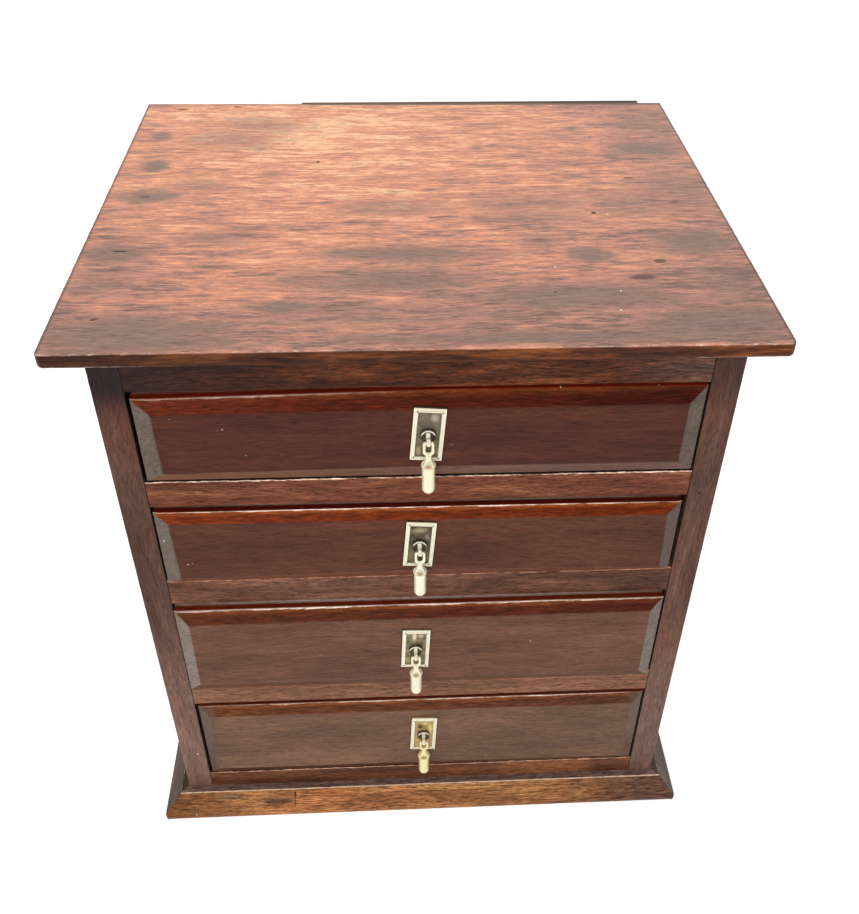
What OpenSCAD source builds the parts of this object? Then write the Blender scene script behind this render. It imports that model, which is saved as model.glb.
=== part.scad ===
// Tabletop chest of four drawers, with a moulded plinth and brass drop pulls.
// Millimetres, +Z up. The origin is under the middle of the chest, at floor level.
// The drawers open towards -Y.

/* [Case] */
// Outside width of the case, over its two sides
case_w = 300; // [240:1:420]
// Depth of the case sides, front to back
case_d = 275; // [235:1:380]
// Thickness of each side board
side_t = 15; // [12:0.5:22]
// Thickness of the bottom board
bottom_t = 15; // [10:0.5:20]
// Thickness of the back board
back_t = 5; // [3:0.5:9]
// How far the back board's upper edge falls towards its left end
back_fall = 2.6; // [0:0.1:5]

/* [Top] */
// Thickness of the top board
top_t = 8; // [7:0.5:16]
// How far the top board stands out past the case, at the front and the sides
top_overhang = 15; // [6:0.5:24]
// Rounding of the top board's lower edge
top_lower_r = 2.2; // [0.5:0.1:3]
// Rounding of the top board's upper edge
top_upper_r = 0.7; // [0.3:0.1:2]
// Rounding of the top board's front corners, seen from above
top_corner_r = 3; // [1:0.5:8]

/* [Rails] */
// Height of the front of each rail between two drawers
rail_h = 17.5; // [12:0.5:24]
// Depth of each rail between two drawers
rail_d = 45; // [30:1:70]
// Height of the frieze rail under the top
frieze_h = 22.5; // [14:0.5:40]
// Thickness of the frieze rail
frieze_t = 15; // [10:0.5:20]
// How far each tenon goes into the side board
tenon_len = 5; // [3:0.5:8]
// Thickness of each tenon
tenon_t = 7; // [4:0.5:8]
// Shoulder at the front and back of each tenon
tenon_shoulder = 5; // [2:0.5:8]
// Width of each runner and kicker
runner_w = 12; // [8:0.5:16]

/* [Plinth] */
// Height of the plinth, and of the bottom board's underside
plinth_h = 14; // [10:0.5:30]
// How far the plinth's foot stands out from the case
plinth_out = 15; // [8:0.5:22]
// Width of the flat ledge on top of the plinth
plinth_ledge = 5; // [2:0.5:7]
// Height of the upright foot under the plinth's slope
plinth_foot_h = 3.2; // [2:0.2:6]
// Rounding of the plinth's lowest edge
plinth_edge_r = 1.2; // [0.4:0.1:1.8]
// Side of each square block behind the plinth's front
block_s = 12; // [8:0.5:14]
// Length of each block behind the plinth's front
block_l = 40; // [20:1:60]

/* [Drawer openings] */
// Height of each of the two upper openings
upper_opening_h = 52; // [46:0.5:80]
// Height of each of the two lower openings
lower_opening_h = 68.5; // [52:0.5:110]

/* [Drawers] */
// Gap between a drawer and the side board, on each side
side_gap = 1.5; // [1:0.1:3]
// Gap over a drawer front
front_top_gap = 1.4; // [0.5:0.1:3]
// Gap under a drawer front
front_bottom_gap = 0.8; // [0.3:0.1:2]
// Length of the stops behind a drawer that closes level with the case
stop_len = 13; // [8:1:40]
// Thickness of a drawer front at its edge
front_t = 12; // [10:0.5:16]
// How far the raised field stands out from the edge of a drawer front
field_rise = 3.3; // [1:0.1:6]
// Width of the bevel round the raised field
bevel_w = 6.9; // [3:0.1:14]
// Thickness of a drawer's sides
box_side_t = 6; // [5:0.5:9]
// Thickness of a drawer's back
box_back_t = 6; // [5:0.5:9]
// How much lower than its opening a drawer's sides are
box_top_gap = 3; // [1.5:0.5:8]
// How much lower than its sides a drawer's back is
box_back_drop = 4; // [0:0.5:8]
// Thickness of a drawer's bottom panel
panel_t = 3; // [2:0.5:4]
// Height of the bottom panel over the drawer's lower edge
panel_z = 4; // [3:0.5:8]
// How far the bottom panel goes into each groove
groove_d = 3; // [2:0.5:3.5]
// Play over the bottom panel in its groove
panel_play = 0.2; // [0:0.05:0.4]
// How far each closed drawer stands out of the case, upper drawer first
stand_out = [1.3, 1.3, 3.7, 0.7]; // [0:0.1:5]
// How far each drawer sits to the right of the middle, upper drawer first
drawer_shift = [0.3, -0.6, -0.5, 0.2]; // [-0.8:0.1:0.8]

/* [Dovetails] */
// Length of the tails in a drawer front
front_tail = 7; // [4:0.5:8]
// Width of the pins between two tails, at their root
pin_w = 6; // [4:0.5:8]
// Slope of each tail, as run over rise
tail_slope = 6; // [5:0.5:9]

/* [Pulls] */
// Width of a pull's back plate
plate_w = 15.4; // [12:0.1:24]
// Height of a pull's back plate
plate_h = 30.6; // [22:0.1:38]
// How far each back plate has turned clockwise on its shank, in degrees, upper drawer first
plate_turn = [4.5, 4.5, 2.5, 2.5]; // [-8:0.5:8]
// Thickness of the back plate's sunk panel
plate_floor = 0.9; // [0.5:0.1:1.4]
// Height of the back plate's inner bead over the wood
plate_rim = 1.9; // [1.5:0.1:3]
// Width of each of the back plate's two beads
bead_w = 0.9; // [0.5:0.1:1.2]
// Radius of the round collar
collar_r = 3.8; // [3.2:0.1:5]
// Height of the collar over the sunk panel
collar_h = 2.4; // [1.5:0.1:3.2]
// Radius of the collar's dish
dish_r = 2.9; // [2.2:0.1:3.1]
// Depth of the collar's dish
dish_d = 1.2; // [0.5:0.1:1.4]
// Distance from the wood to the centre of the eye
pull_out = 7; // [6.5:0.1:10]
// Thickness of the eye, side to side
eye_t = 1.8; // [1.2:0.1:1.8]
// Radius of the hole through the eye
eye_hole_r = 1.3; // [1.25:0.05:1.4]
// Wall round the hole of the eye
eye_wall = 0.8; // [0.5:0.1:0.9]
// Radius of the shank through the drawer front
shank_r = 1.5; // [1:0.1:2]
// Side of the square nut on the shank
nut_s = 7; // [5:0.5:10]
// Thickness of the nut
nut_t = 2.5; // [1.5:0.5:4]
// Length of the shank past its nut
shank_end = 1; // [0.5:0.5:3]
// How far each pull sits to the right of its drawer's middle, upper drawer first
pull_shift = [2.3, -1, -3.6, 0.2]; // [-12:0.1:12]
// How far each pull sits over the middle of its opening, upper drawer first
pull_rise = [2.8, 1.3, 0.8, 4.2]; // [-4:0.1:5]

/* [Drops] */
// Radius of the drop's ring, to the middle of its wire
ring_r = 2.25; // [2.25:0.05:4]
// Radius of the ring's wire
wire_r = 0.9; // [0.7:0.05:1]
// Straight length of each side of the ring
ring_straight = 2.6; // [0:0.1:4]
// Radius of the drop's neck
neck_r = 1.5; // [1:0.1:2]
// Radius of the drop's shoulder
shoulder_r = 3.7; // [3.4:0.1:4.5]
// Radius of the groove under the shoulder
waist_r = 2.9; // [2:0.1:3]
// Radius of the drop's body
drop_r = 3.2; // [2.6:0.1:3.4]
// Length of the straight neck under the ring
neck_len = 1.3; // [0.5:0.1:2.5]
// Distance from the ring's lowest point to the widest part of the shoulder
shoulder_drop = 5.4; // [4:0.1:8]
// Distance from the middle of the eye to the lowest point of the drop
drop_len = 30.6; // [26:0.1:40]

/* [Nails and screws] */
// Radius of a back nail
nail_r = 0.7; // [0.5:0.05:1]
// Radius of a back nail's head
nail_head_r = 1.5; // [1.2:0.1:2]
// Height of a back nail's head
nail_head_h = 0.8; // [0.4:0.1:1]
// How far a back nail goes into the wood behind the back board
nail_grip = 13; // [8:1:20]
// Radius of a top screw
screw_r = 1.5; // [1:0.1:2]
// Radius of a top screw's head
screw_head_r = 3; // [2.5:0.1:4]
// Depth of a top screw's sunk head
screw_head_h = 2; // [1.5:0.1:3]
// How far a top screw goes into the top board
screw_grip = 5; // [3:0.5:6]
// Play round a nail, a screw or a shank in its hole
hole_play = 0.05; // [0.02:0.01:0.2]

/* [Hidden] */
DRAWERS = [1:4];
SIDES = [-1, 1];
CARCASE = ["top_board", "left_side", "right_side", "back_board", "frieze_rail",
  "rail_1", "rail_2", "rail_3", "bottom_board",
  "runner_1_left", "runner_1_right", "runner_2_left", "runner_2_right",
  "runner_3_left", "runner_3_right", "kicker_left", "kicker_right",
  "plinth_front", "plinth_left", "plinth_right",
  "plinth_blocks", "drawer_stops", "back_nails", "top_screws"];
DRAWER_PIECES = ["front", "left_side", "right_side", "back", "bottom",
  "pull_plate", "pull_eye", "pull_nut", "pull_drop"];

// Fineness of arcs, and a cutter's reach past what it cuts
arc_fn = 48;
over = 1;

// Colours
top_wood = "#8c4a35";
case_wood = "#5b3027";
rail_wood = "#6a3a2b";
front_wood = "#5a2c22";
plinth_wood = "#7a4a30";
inner_wood = "#a9825a";
brass = "#e2cf9a";
iron = "#4a4644";

// Places in the case. In the modules y = 0 is the case's front, and case_y sets it in the frame.
inner_w = case_w - 2 * side_t;
pull_reach = max(stand_out) + field_rise + pull_out + max(shoulder_r, drop_r);
front_reach = max(top_overhang, plinth_out, pull_reach);
case_y = (front_reach - case_d - back_t) / 2;
case_h = opening_z(1) + upper_opening_h + frieze_h;
top_y = -top_overhang;
tenon_d = rail_d - 2 * tenon_shoulder;
frieze_tenon_t = frieze_t / 3;
frieze_tenon_h = frieze_h - 2 * tenon_shoulder;
stop_s = 10;

// Sizes of a drawer, whose length runs from the edge of its front to its back
drawer_len = case_d - stop_len;
front_w = inner_w - 2 * side_gap;
box_inner_w = front_w - 2 * box_side_t;
back_y = drawer_len - box_back_t;
lap = front_t - front_tail;
panel_top = panel_z + panel_t + panel_play;

// Sizes of a pull, whose y = 0 is the raised field's face
eye_r = eye_hole_r + eye_wall;
collar_y = plate_floor + collar_h;
dish_y = collar_y - dish_d;
nut_y = field_rise + front_t;
ring_low = 2 * ring_r + ring_straight;
shoulder_z = ring_low + wire_r + shoulder_drop;
bead_gap = 0.35;
bead_drop = 0.4;
collar_edge = 0.4;
dish_slope = 0.5;

// Small steps of a drop's outline: into the ring, the shoulder's lip, the groove and its end
ring_join = 0.3;
lip_in = 0.3;
lip_h = 0.5;
waist_h = 1.2;
waist_end = 0.7;

// The slot of a screw's head
slot_w = 0.8;
slot_d = 0.8;

function opening_h(i) = i <= 2 ? upper_opening_h : lower_opening_h;
function opening_z(i) =
  i == 4 ? plinth_h + bottom_t : opening_z(i + 1) + opening_h(i + 1) + rail_h;
function box_h(i) = opening_h(i) - box_top_gap;
function tails(i) = i <= 2 ? 2 : 3;
function eye_z(i) = opening_z(i) + opening_h(i) / 2 + pull_rise[i - 1];

// Puts the case's own places into the frame
module in_frame() translate([0, case_y, 0]) children();

// Puts a drawer's own places, with y = 0 at the edge of its front, into the frame
module in_drawer(i)
  in_frame() translate([drawer_shift[i - 1], -stand_out[i - 1], opening_z(i)]) children();

// Puts a pull's own places, with the eye's height at z = 0, into the frame
module in_pull(i)
  in_frame() translate([drawer_shift[i - 1] + pull_shift[i - 1],
    -stand_out[i - 1] - field_rise, eye_z(i)]) children();

// A flat outline in Y and Z, run along X from x0 to x1
module along_x(x0, x1)
  translate([x0, 0, 0]) rotate([90, 0, 90]) linear_extrude(x1 - x0) children();

// A flat outline in X and Z, run along Y from y0 to y1
module along_y(y0, y1)
  translate([0, y1, 0]) rotate([90, 0, 0]) linear_extrude(y1 - y0) children();

// A round bar along Y from y0 to y1
module rod_y(y0, y1, r) translate([0, y0, 0]) rotate([-90, 0, 0]) cylinder(h = y1 - y0, r = r, $fn = arc_fn);

// What a rounding takes from a corner at the origin, whose board lies in +X and +Y
module corner_waste(r) difference() {
  translate([-over, -over]) square(r + over);
  translate([r, r]) circle(r, $fn = arc_fn);
}

module box_from_to(low, high) translate(low) cube(high - low);

// The top, one board with softened edges
module top_board() color(top_wood) in_frame() {
  half_w = case_w / 2 + top_overhang;
  z0 = case_h;
  z1 = case_h + top_t;
  difference() {
    intersection() {
      along_x(-half_w, half_w) difference() {
        translate([top_y, z0]) square([case_d + top_overhang, top_t]);
        translate([top_y, z0]) corner_waste(top_lower_r);
        translate([top_y, z1]) mirror([0, 1]) corner_waste(top_upper_r);
      }
      along_y(top_y, case_d) difference() {
        translate([-half_w, z0]) square([2 * half_w, top_t]);
        for (s = SIDES) {
          on_side(s) translate([-half_w, z0]) corner_waste(top_lower_r);
          on_side(s) translate([-half_w, z1]) mirror([0, 1]) corner_waste(top_upper_r);
        }
      }
      translate([0, 0, z0]) linear_extrude(top_t) difference() {
        translate([-half_w, top_y]) square([2 * half_w, case_d + top_overhang]);
        for (s = SIDES) on_side(s) translate([-half_w, top_y]) corner_waste(top_corner_r);
      }
    }
    at_top_screws() translate([0, 0, case_h - over])
      cylinder(h = screw_grip + 2 * over, r = screw_r + hole_play, $fn = arc_fn);
  }
}

// Shapes are drawn for the left, s = -1. This mirrors them for the right, s = 1.
module on_side(s) mirror([s > 0 ? 1 : 0, 0, 0]) children();

// A side board, with the mortises of the rails and the bottom board's housing. s = -1 is the left.
module side(s) color(case_wood) in_frame() on_side(s) difference() {
  box_from_to([-case_w / 2, 0, 0], [-inner_w / 2, case_d, case_h]);
  for (i = [1:3]) rail_tenon(i);
  frieze_tenon();
  bottom_tongue();
  at_side_nails() rod_y(case_d - nail_grip, case_d + over, nail_r + hole_play);
}

// The left tenons of the rails, the frieze and the bottom board
module rail_tenon(i) {
  z0 = opening_z(i) - rail_h / 2 - tenon_t / 2;
  box_from_to([-inner_w / 2 - tenon_len, tenon_shoulder, z0],
    [-inner_w / 2, tenon_shoulder + tenon_d, z0 + tenon_t]);
}

module frieze_tenon() {
  y0 = (frieze_t - frieze_tenon_t) / 2;
  z0 = case_h - frieze_h + tenon_shoulder;
  box_from_to([-inner_w / 2 - tenon_len, y0, z0],
    [-inner_w / 2, y0 + frieze_tenon_t, z0 + frieze_tenon_h]);
}

module bottom_tongue() {
  z0 = plinth_h + (bottom_t - tenon_t) / 2;
  box_from_to([-inner_w / 2 - tenon_len, 2 * tenon_shoulder, z0],
    [-inner_w / 2, case_d, z0 + tenon_t]);
}

// The rail under drawer i
module rail(i) color(rail_wood) in_frame() {
  box_from_to([-inner_w / 2, 0, opening_z(i) - rail_h], [inner_w / 2, rail_d, opening_z(i)]);
  for (s = SIDES) on_side(s) rail_tenon(i);
}

module frieze_rail() color(rail_wood) in_frame() {
  box_from_to([-inner_w / 2, 0, case_h - frieze_h], [inner_w / 2, frieze_t, case_h]);
  for (s = SIDES) on_side(s) frieze_tenon();
}

module bottom_board() color(rail_wood) in_frame() difference() {
  union() {
    box_from_to([-inner_w / 2, 0, plinth_h], [inner_w / 2, case_d, plinth_h + bottom_t]);
    for (s = SIDES) on_side(s) bottom_tongue();
  }
  at_bottom_nails() rod_y(case_d - nail_grip, case_d + over, nail_r + hole_play);
}

// The back, one board nailed over the ends of the sides, its upper edge cut a little out of level
module back_board() color(case_wood) in_frame() difference() {
  top_z = case_h + top_t;
  along_y(case_d, case_d + back_t)
    polygon([[-case_w / 2, 0], [case_w / 2, 0], [case_w / 2, top_z], [-case_w / 2, top_z - back_fall]]);
  at_back_nails() {
    rod_y(case_d - over, case_d + back_t + over, nail_r + hole_play);
    rod_y(case_d + back_t - nail_head_h, case_d + back_t + over, nail_head_r + hole_play);
  }
}

// A runner beside drawer i - 1, level with the rail, which carries drawer i - 1 and keeps drawer i down
module runner(i, s) color(inner_wood) in_frame() on_side(s)
  box_from_to([-inner_w / 2, rail_d, opening_z(i) - rail_h],
    [-inner_w / 2 + runner_w, case_d, opening_z(i)]);

// A kicker beside the uppermost drawer, which also holds the top board's screws
module kicker(s) color(inner_wood) in_frame() difference() {
  on_side(s) box_from_to([-inner_w / 2, frieze_t, case_h - frieze_h],
    [-inner_w / 2 + runner_w, case_d, case_h]);
  at_top_screws() {
    translate([0, 0, case_h - frieze_h - over])
      cylinder(h = frieze_h + 2 * over, r = screw_r + hole_play, $fn = arc_fn);
    translate([0, 0, case_h - frieze_h])
      cylinder(h = screw_head_h, r1 = screw_head_r + hole_play, r2 = screw_r + hole_play, $fn = arc_fn);
  }
}

// The plinth's section: x is the distance out from the case
module plinth_section() difference() {
  polygon([[0, 0], [plinth_out, 0], [plinth_out, plinth_foot_h], [plinth_ledge, plinth_h], [0, plinth_h]]);
  translate([plinth_out, 0]) mirror([1, 0]) corner_waste(plinth_edge_r);
}

// The front of the plinth, mitred at both ends
module plinth_front() color(plinth_wood) in_frame() intersection() {
  half_w = case_w / 2 + plinth_out;
  along_x(-half_w, half_w) mirror([1, 0]) plinth_section();
  linear_extrude(plinth_h) polygon([[-half_w, -plinth_out], [half_w, -plinth_out],
    [case_w / 2, 0], [-case_w / 2, 0]]);
}

// A side of the plinth, mitred at its front end
module plinth_side(s) color(plinth_wood) in_frame() on_side(s) intersection() {
  half_w = case_w / 2 + plinth_out;
  y1 = case_d + back_t;
  along_y(-plinth_out, y1) translate([-case_w / 2, 0]) mirror([1, 0]) plinth_section();
  linear_extrude(plinth_h) polygon([[-half_w, -plinth_out], [-case_w / 2, 0],
    [-case_w / 2, y1], [-half_w, y1]]);
}

// Three glue blocks behind the plinth's front, under the bottom board
module plinth_blocks() color(inner_wood) in_frame() for (k = [-1:1]) {
  x = k * inner_w / 3;
  box_from_to([x - block_l / 2, 0, plinth_h - block_s], [x + block_l / 2, block_s, plinth_h]);
}

// Two stops for each drawer, glued at the back, longer by as much as the drawer stands out
module drawer_stops() color(inner_wood) in_frame() for (i = DRAWERS) for (s = SIDES) on_side(s) {
  x0 = -inner_w / 2 + side_gap;
  box_from_to([x0, drawer_len - stand_out[i - 1], opening_z(i)],
    [x0 + stop_s, case_d, opening_z(i) + stop_s]);
}

// Where the nails stand: along both sides and the bottom board
module at_side_nails() for (k = [0:4])
  translate([-case_w / 2 + side_t / 2, 0, plinth_h + 2 * bottom_t + k * (case_h - 4 * bottom_t) / 4]) children();
module at_bottom_nails() for (k = [-1:1])
  translate([k * inner_w / 3, 0, plinth_h + bottom_t / 2]) children();
module at_back_nails() {
  for (s = SIDES) on_side(s) at_side_nails() children();
  at_bottom_nails() children();
}

module back_nails() color(iron) in_frame() at_back_nails() {
  rod_y(case_d - nail_grip, case_d + back_t - nail_head_h, nail_r);
  rod_y(case_d + back_t - nail_head_h, case_d + back_t, nail_head_r);
}

// Where the top board's screws stand: two in each kicker
module at_top_screws() for (s = SIDES) for (y = [case_d / 4, 3 * case_d / 4])
  translate([s * (inner_w - runner_w) / 2, y, 0]) children();

module top_screws() color(iron) in_frame() at_top_screws()
  translate([0, 0, case_h - frieze_h]) difference() {
    union() {
      cylinder(h = screw_head_h, r1 = screw_head_r, r2 = screw_r, $fn = arc_fn);
      cylinder(h = frieze_h + screw_grip, r = screw_r, $fn = arc_fn);
    }
    translate([-screw_head_r, -slot_w / 2, -over]) cube([2 * screw_head_r, slot_w, slot_d + over]);
  }

// The tails at one end of a drawer side, as an outline in Y and Z. The root is at y = 0 and
// the tails run to y = -len, over a board from z0 to z1.
module tail_outline(len, z0, z1, count) {
  pitch = (z1 - z0) / count;
  flare = len / tail_slope;
  for (k = [0:count - 1]) {
    low = z0 + k * pitch + pin_w / 2;
    high = z0 + (k + 1) * pitch - pin_w / 2;
    polygon([[0, low], [-len, low - flare], [-len, high + flare], [0, high]]);
  }
}

// The left tails that a drawer's front and back are cut for
module front_tails(i)
  translate([0, front_t, 0]) along_x(-front_w / 2, -box_inner_w / 2)
    tail_outline(front_tail, 0, box_h(i), tails(i));
module back_tails(i)
  translate([0, back_y, 0]) along_x(-front_w / 2, -box_inner_w / 2) mirror([1, 0])
    tail_outline(box_back_t, panel_top, box_h(i) - box_back_drop, tails(i));

// A drawer front: a board with a bevel on four edges round its raised field
module drawer_front(i) color(front_wood) in_drawer(i) difference() {
  z0 = front_bottom_gap;
  z1 = opening_h(i) - front_top_gap;
  intersection() {
    along_x(-front_w / 2, front_w / 2)
      polygon([[front_t, z0], [0, z0], [-field_rise, z0 + bevel_w],
        [-field_rise, z1 - bevel_w], [0, z1], [front_t, z1]]);
    translate([0, 0, z0]) linear_extrude(z1 - z0)
      polygon([[-front_w / 2, front_t], [-front_w / 2, 0], [-front_w / 2 + bevel_w, -field_rise],
        [front_w / 2 - bevel_w, -field_rise], [front_w / 2, 0], [front_w / 2, front_t]]);
  }
  for (s = SIDES) on_side(s) front_tails(i);
  box_from_to([-box_inner_w / 2, front_t - groove_d, panel_z], [box_inner_w / 2, front_t + over, panel_top]);
  translate([pull_shift[i - 1], 0, opening_h(i) / 2 + pull_rise[i - 1]])
    rod_y(-field_rise - over, front_t + over, shank_r + hole_play);
}

// A drawer side, dovetailed at both ends and grooved for the bottom panel
module drawer_side(i, s) color(inner_wood) in_drawer(i) on_side(s) difference() {
  union() {
    difference() {
      box_from_to([-front_w / 2, front_t, 0], [-box_inner_w / 2, drawer_len, box_h(i)]);
      box_from_to([-front_w / 2 - over, back_y, panel_top],
        [-box_inner_w / 2 + over, drawer_len + over, box_h(i) - box_back_drop]);
    }
    front_tails(i);
    back_tails(i);
  }
  box_from_to([-box_inner_w / 2 - groove_d, front_t - groove_d, panel_z],
    [-box_inner_w / 2 + over, drawer_len + over, panel_top]);
}

module drawer_back(i) color(inner_wood) in_drawer(i) difference() {
  box_from_to([-front_w / 2, back_y, panel_top], [front_w / 2, drawer_len, box_h(i) - box_back_drop]);
  for (s = SIDES) on_side(s) back_tails(i);
}

// The bottom panel, in the grooves of the front and the sides and under the back
module drawer_bottom(i) color(inner_wood) in_drawer(i)
  box_from_to([-box_inner_w / 2 - groove_d, front_t - groove_d, panel_z],
    [box_inner_w / 2 + groove_d, drawer_len, panel_z + panel_t]);

// A frame of one bead on the back plate: inset from the plate's edge, and its height
module plate_bead(inset, height) {
  outer = [plate_w - 2 * inset, plate_h - 2 * inset];
  along_y(-height, 0) difference() {
    square(outer, center = true);
    square(outer - [2 * bead_w, 2 * bead_w], center = true);
  }
}

// The back plate, which has turned a little round its shank
module pull_plate(i) color(brass) in_pull(i) difference() {
  rotate([0, plate_turn[i - 1], 0]) {
    along_y(-plate_floor, 0) square([plate_w, plate_h], center = true);
    plate_bead(0, plate_rim - bead_drop);
    plate_bead(bead_w + bead_gap, plate_rim);
  }
  rod_y(-plate_rim - over, over, shank_r + hole_play);
}

// The dished collar with its eye in front and its shank behind
module pull_eye(i) color(brass) in_pull(i) difference() {
  union() {
    rotate([90, 0, 0]) rotate_extrude($fn = arc_fn) polygon([[0, plate_floor], [collar_r, plate_floor],
      [collar_r, collar_y - collar_edge], [collar_r - collar_edge, collar_y], [dish_r, collar_y],
      [dish_r - dish_slope, dish_y], [0, dish_y]]);
    rod_y(-plate_floor, nut_y + nut_t + shank_end, shank_r);
    box_from_to([-eye_t / 2, -pull_out, -shank_r], [eye_t / 2, -plate_floor, shank_r]);
    translate([-eye_t / 2, -pull_out, 0]) rotate([0, 90, 0]) cylinder(h = eye_t, r = eye_r, $fn = arc_fn);
  }
  translate([-eye_t, -pull_out, 0]) rotate([0, 90, 0])
    cylinder(h = 2 * eye_t, r = eye_hole_r, $fn = arc_fn);
}

module pull_nut(i) color(brass) in_pull(i) difference() {
  along_y(nut_y, nut_y + nut_t) square(nut_s, center = true);
  rod_y(nut_y - over, nut_y + nut_t + over, shank_r + hole_play);
}

// The drop: a ring through the eye, a neck, a flared shoulder and a round-ended body
module pull_drop(i) color(brass) in_pull(i) translate([0, -pull_out, 0]) {
  half_ring(-ring_r, 0);
  half_ring(-ring_r - ring_straight, 180);
  for (s = SIDES) translate([s * ring_r, 0, -ring_r - ring_straight])
    cylinder(h = ring_straight, r = wire_r, $fn = arc_fn);
  rotate_extrude($fn = arc_fn) drop_outline();
}

module half_ring(z, turn) translate([0, 0, z]) rotate([0, turn, 0]) rotate([90, 0, 0])
  rotate_extrude(angle = 180, $fn = arc_fn) translate([ring_r, 0]) circle(wire_r, $fn = 24);

module drop_outline() {
  waist_z = -shoulder_z - waist_h;
  end_z = drop_r - drop_len;
  translate([0, -shoulder_z]) polygon([[0, shoulder_drop + ring_join], [neck_r, shoulder_drop + ring_join],
    [neck_r, shoulder_drop - neck_len], [shoulder_r - lip_in, lip_h], [shoulder_r, 0],
    [waist_r, -waist_h], [0, -waist_h]]);
  polygon([[0, waist_z], [waist_r, waist_z], [drop_r, waist_z - waist_end], [drop_r, end_z], [0, end_z]]);
  intersection() {
    translate([0, end_z]) circle(drop_r, $fn = arc_fn);
    translate([0, end_z - drop_r]) square([drop_r, drop_r]);
  }
}

top_board();
side(-1);  // left_side
side(1);  // right_side
back_board();
frieze_rail();
bottom_board();
for (i = [1:3]) {
  rail(i);
  runner(i, -1);
  runner(i, 1);
}
kicker(-1);  // kicker_left
kicker(1);  // kicker_right
plinth_front();
plinth_side(-1);  // plinth_left
plinth_side(1);  // plinth_right
plinth_blocks();
drawer_stops();
back_nails();
top_screws();
for (i = DRAWERS) {
  drawer_front(i);
  drawer_side(i, -1);
  drawer_side(i, 1);
  drawer_back(i);
  drawer_bottom(i);
  pull_plate(i);
  pull_eye(i);
  pull_nut(i);
  pull_drop(i);
}
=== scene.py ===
import math

import bmesh
import bpy
import numpy as np
from mathutils import Matrix, Vector


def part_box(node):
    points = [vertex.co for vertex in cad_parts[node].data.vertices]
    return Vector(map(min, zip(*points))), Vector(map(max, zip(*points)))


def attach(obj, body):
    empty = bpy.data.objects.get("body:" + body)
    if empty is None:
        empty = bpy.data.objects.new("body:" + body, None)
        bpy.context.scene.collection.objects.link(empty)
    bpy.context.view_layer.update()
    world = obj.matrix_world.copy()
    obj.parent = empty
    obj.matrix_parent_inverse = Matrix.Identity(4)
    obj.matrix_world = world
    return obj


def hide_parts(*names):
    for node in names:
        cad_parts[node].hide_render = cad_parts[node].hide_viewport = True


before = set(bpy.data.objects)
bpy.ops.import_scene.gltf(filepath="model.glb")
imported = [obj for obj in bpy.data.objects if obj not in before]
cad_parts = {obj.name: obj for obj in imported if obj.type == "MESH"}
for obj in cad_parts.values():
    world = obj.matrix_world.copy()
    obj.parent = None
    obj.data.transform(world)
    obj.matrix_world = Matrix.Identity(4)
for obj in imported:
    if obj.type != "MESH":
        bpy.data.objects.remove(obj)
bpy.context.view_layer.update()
mm = 0.001
scene = bpy.context.scene

# Two lengths are the same when they are so near, and faces at a smaller angle are shaded as one
exact = 0.01 * mm
smooth_angle = math.radians(40)
# Long arrises are cut into such steps, for wear to bite into
board_step = 2.5 * mm
fine_step = 2 * mm

# Camera
# It stands close in front of the chest, a hand's breadth to the left of its middle, and looks down
# at it by 39 degrees. The lens was worked out from the chest's own straight edges.
camera_place = Vector((-0.01257, -0.52294, 0.59589))
camera_right = Vector((0.99823, -0.05656, 0.01827))
camera_down = Vector((-0.02230, -0.64136, -0.76692))
camera_data = bpy.data.cameras.new("camera")
camera_data.sensor_width = 36
camera_data.lens = 40.729
camera_data.shift_x = -0.0266
camera_data.shift_y = 0.0233
camera_data.clip_start = 0.01
camera = bpy.data.objects.new("camera", camera_data)
camera_up = -camera_down.normalized()
camera_back = camera_right.normalized().cross(camera_up)
camera.matrix_world = Matrix.Translation(camera_place) @ Matrix(
    (camera_right.normalized(), camera_up, camera_back)).transposed().to_4x4()
scene.collection.objects.link(camera)
scene.camera = camera
scene.view_settings.view_transform = "Standard"


# Drawing
# Finishes are drawn node by node. What these functions add goes into the latest material's tree.
def linear(colour):
    """An sRGB hex colour as linear red, green, blue and alpha."""
    shares = [int(colour[i:i + 2], 16) / 255 for i in (1, 3, 5)]
    return [s / 12.92 if s <= 0.04045 else ((s + 0.055) / 1.055) ** 2.4 for s in shares] + [1]


def add(kind, wires=None, **settings):
    """Adds a node to the current tree. Wires gives an input a value, a colour, a node or an output."""
    node = tree.nodes.new(f"ShaderNode{kind}")
    for name, value in settings.items():
        setattr(node, name, value)
    for name, value in (wires or {}).items():
        if isinstance(value, bpy.types.Node):
            value = value.outputs[0]
        if isinstance(value, bpy.types.NodeSocket):
            tree.links.new(value, node.inputs[name])
        else:
            node.inputs[name].default_value = linear(value) if isinstance(value, str) else value
    return node


def ramp(value, *stops):
    """A colour that changes with a value, from one stop to the next."""
    node = add("ValToRGB", {"Fac": value})
    colours = node.color_ramp.elements
    for i, (place, colour) in enumerate(stops):
        stop = colours[i] if i < len(colours) else colours.new(place)
        stop.position = place
        stop.color = linear(colour)
    return node


def ranged(value, start=0.0, end=1.0, first=0.0, last=1.0, smooth=False):
    """How far a value is from a start to an end, as a level from a first one to a last one."""
    return add("MapRange", {"Value": value, "From Min": start, "From Max": end,
                            "To Min": first, "To Max": last},
               interpolation_type="SMOOTHSTEP" if smooth else "LINEAR")


def between(place, start, end, first=0.0, last=1.0, smooth=False):
    """The same for a place along an axis, with the start and the end in millimetres."""
    return ranged(place, start * mm, end * mm, first, last, smooth)


def maths(operation, *values, **settings):
    """The result of an operation on one to three values."""
    return add("Math", dict(enumerate(values)), operation=operation, **settings)


def mixed(share, first, second):
    """The first colour, with a share of the second one over it."""
    return add("MixRGB", {"Fac": share, "Color1": first, "Color2": second})


def parts(vector):
    """A vector's X, Y and Z."""
    return add("SeparateXYZ", {0: vector}).outputs


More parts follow.
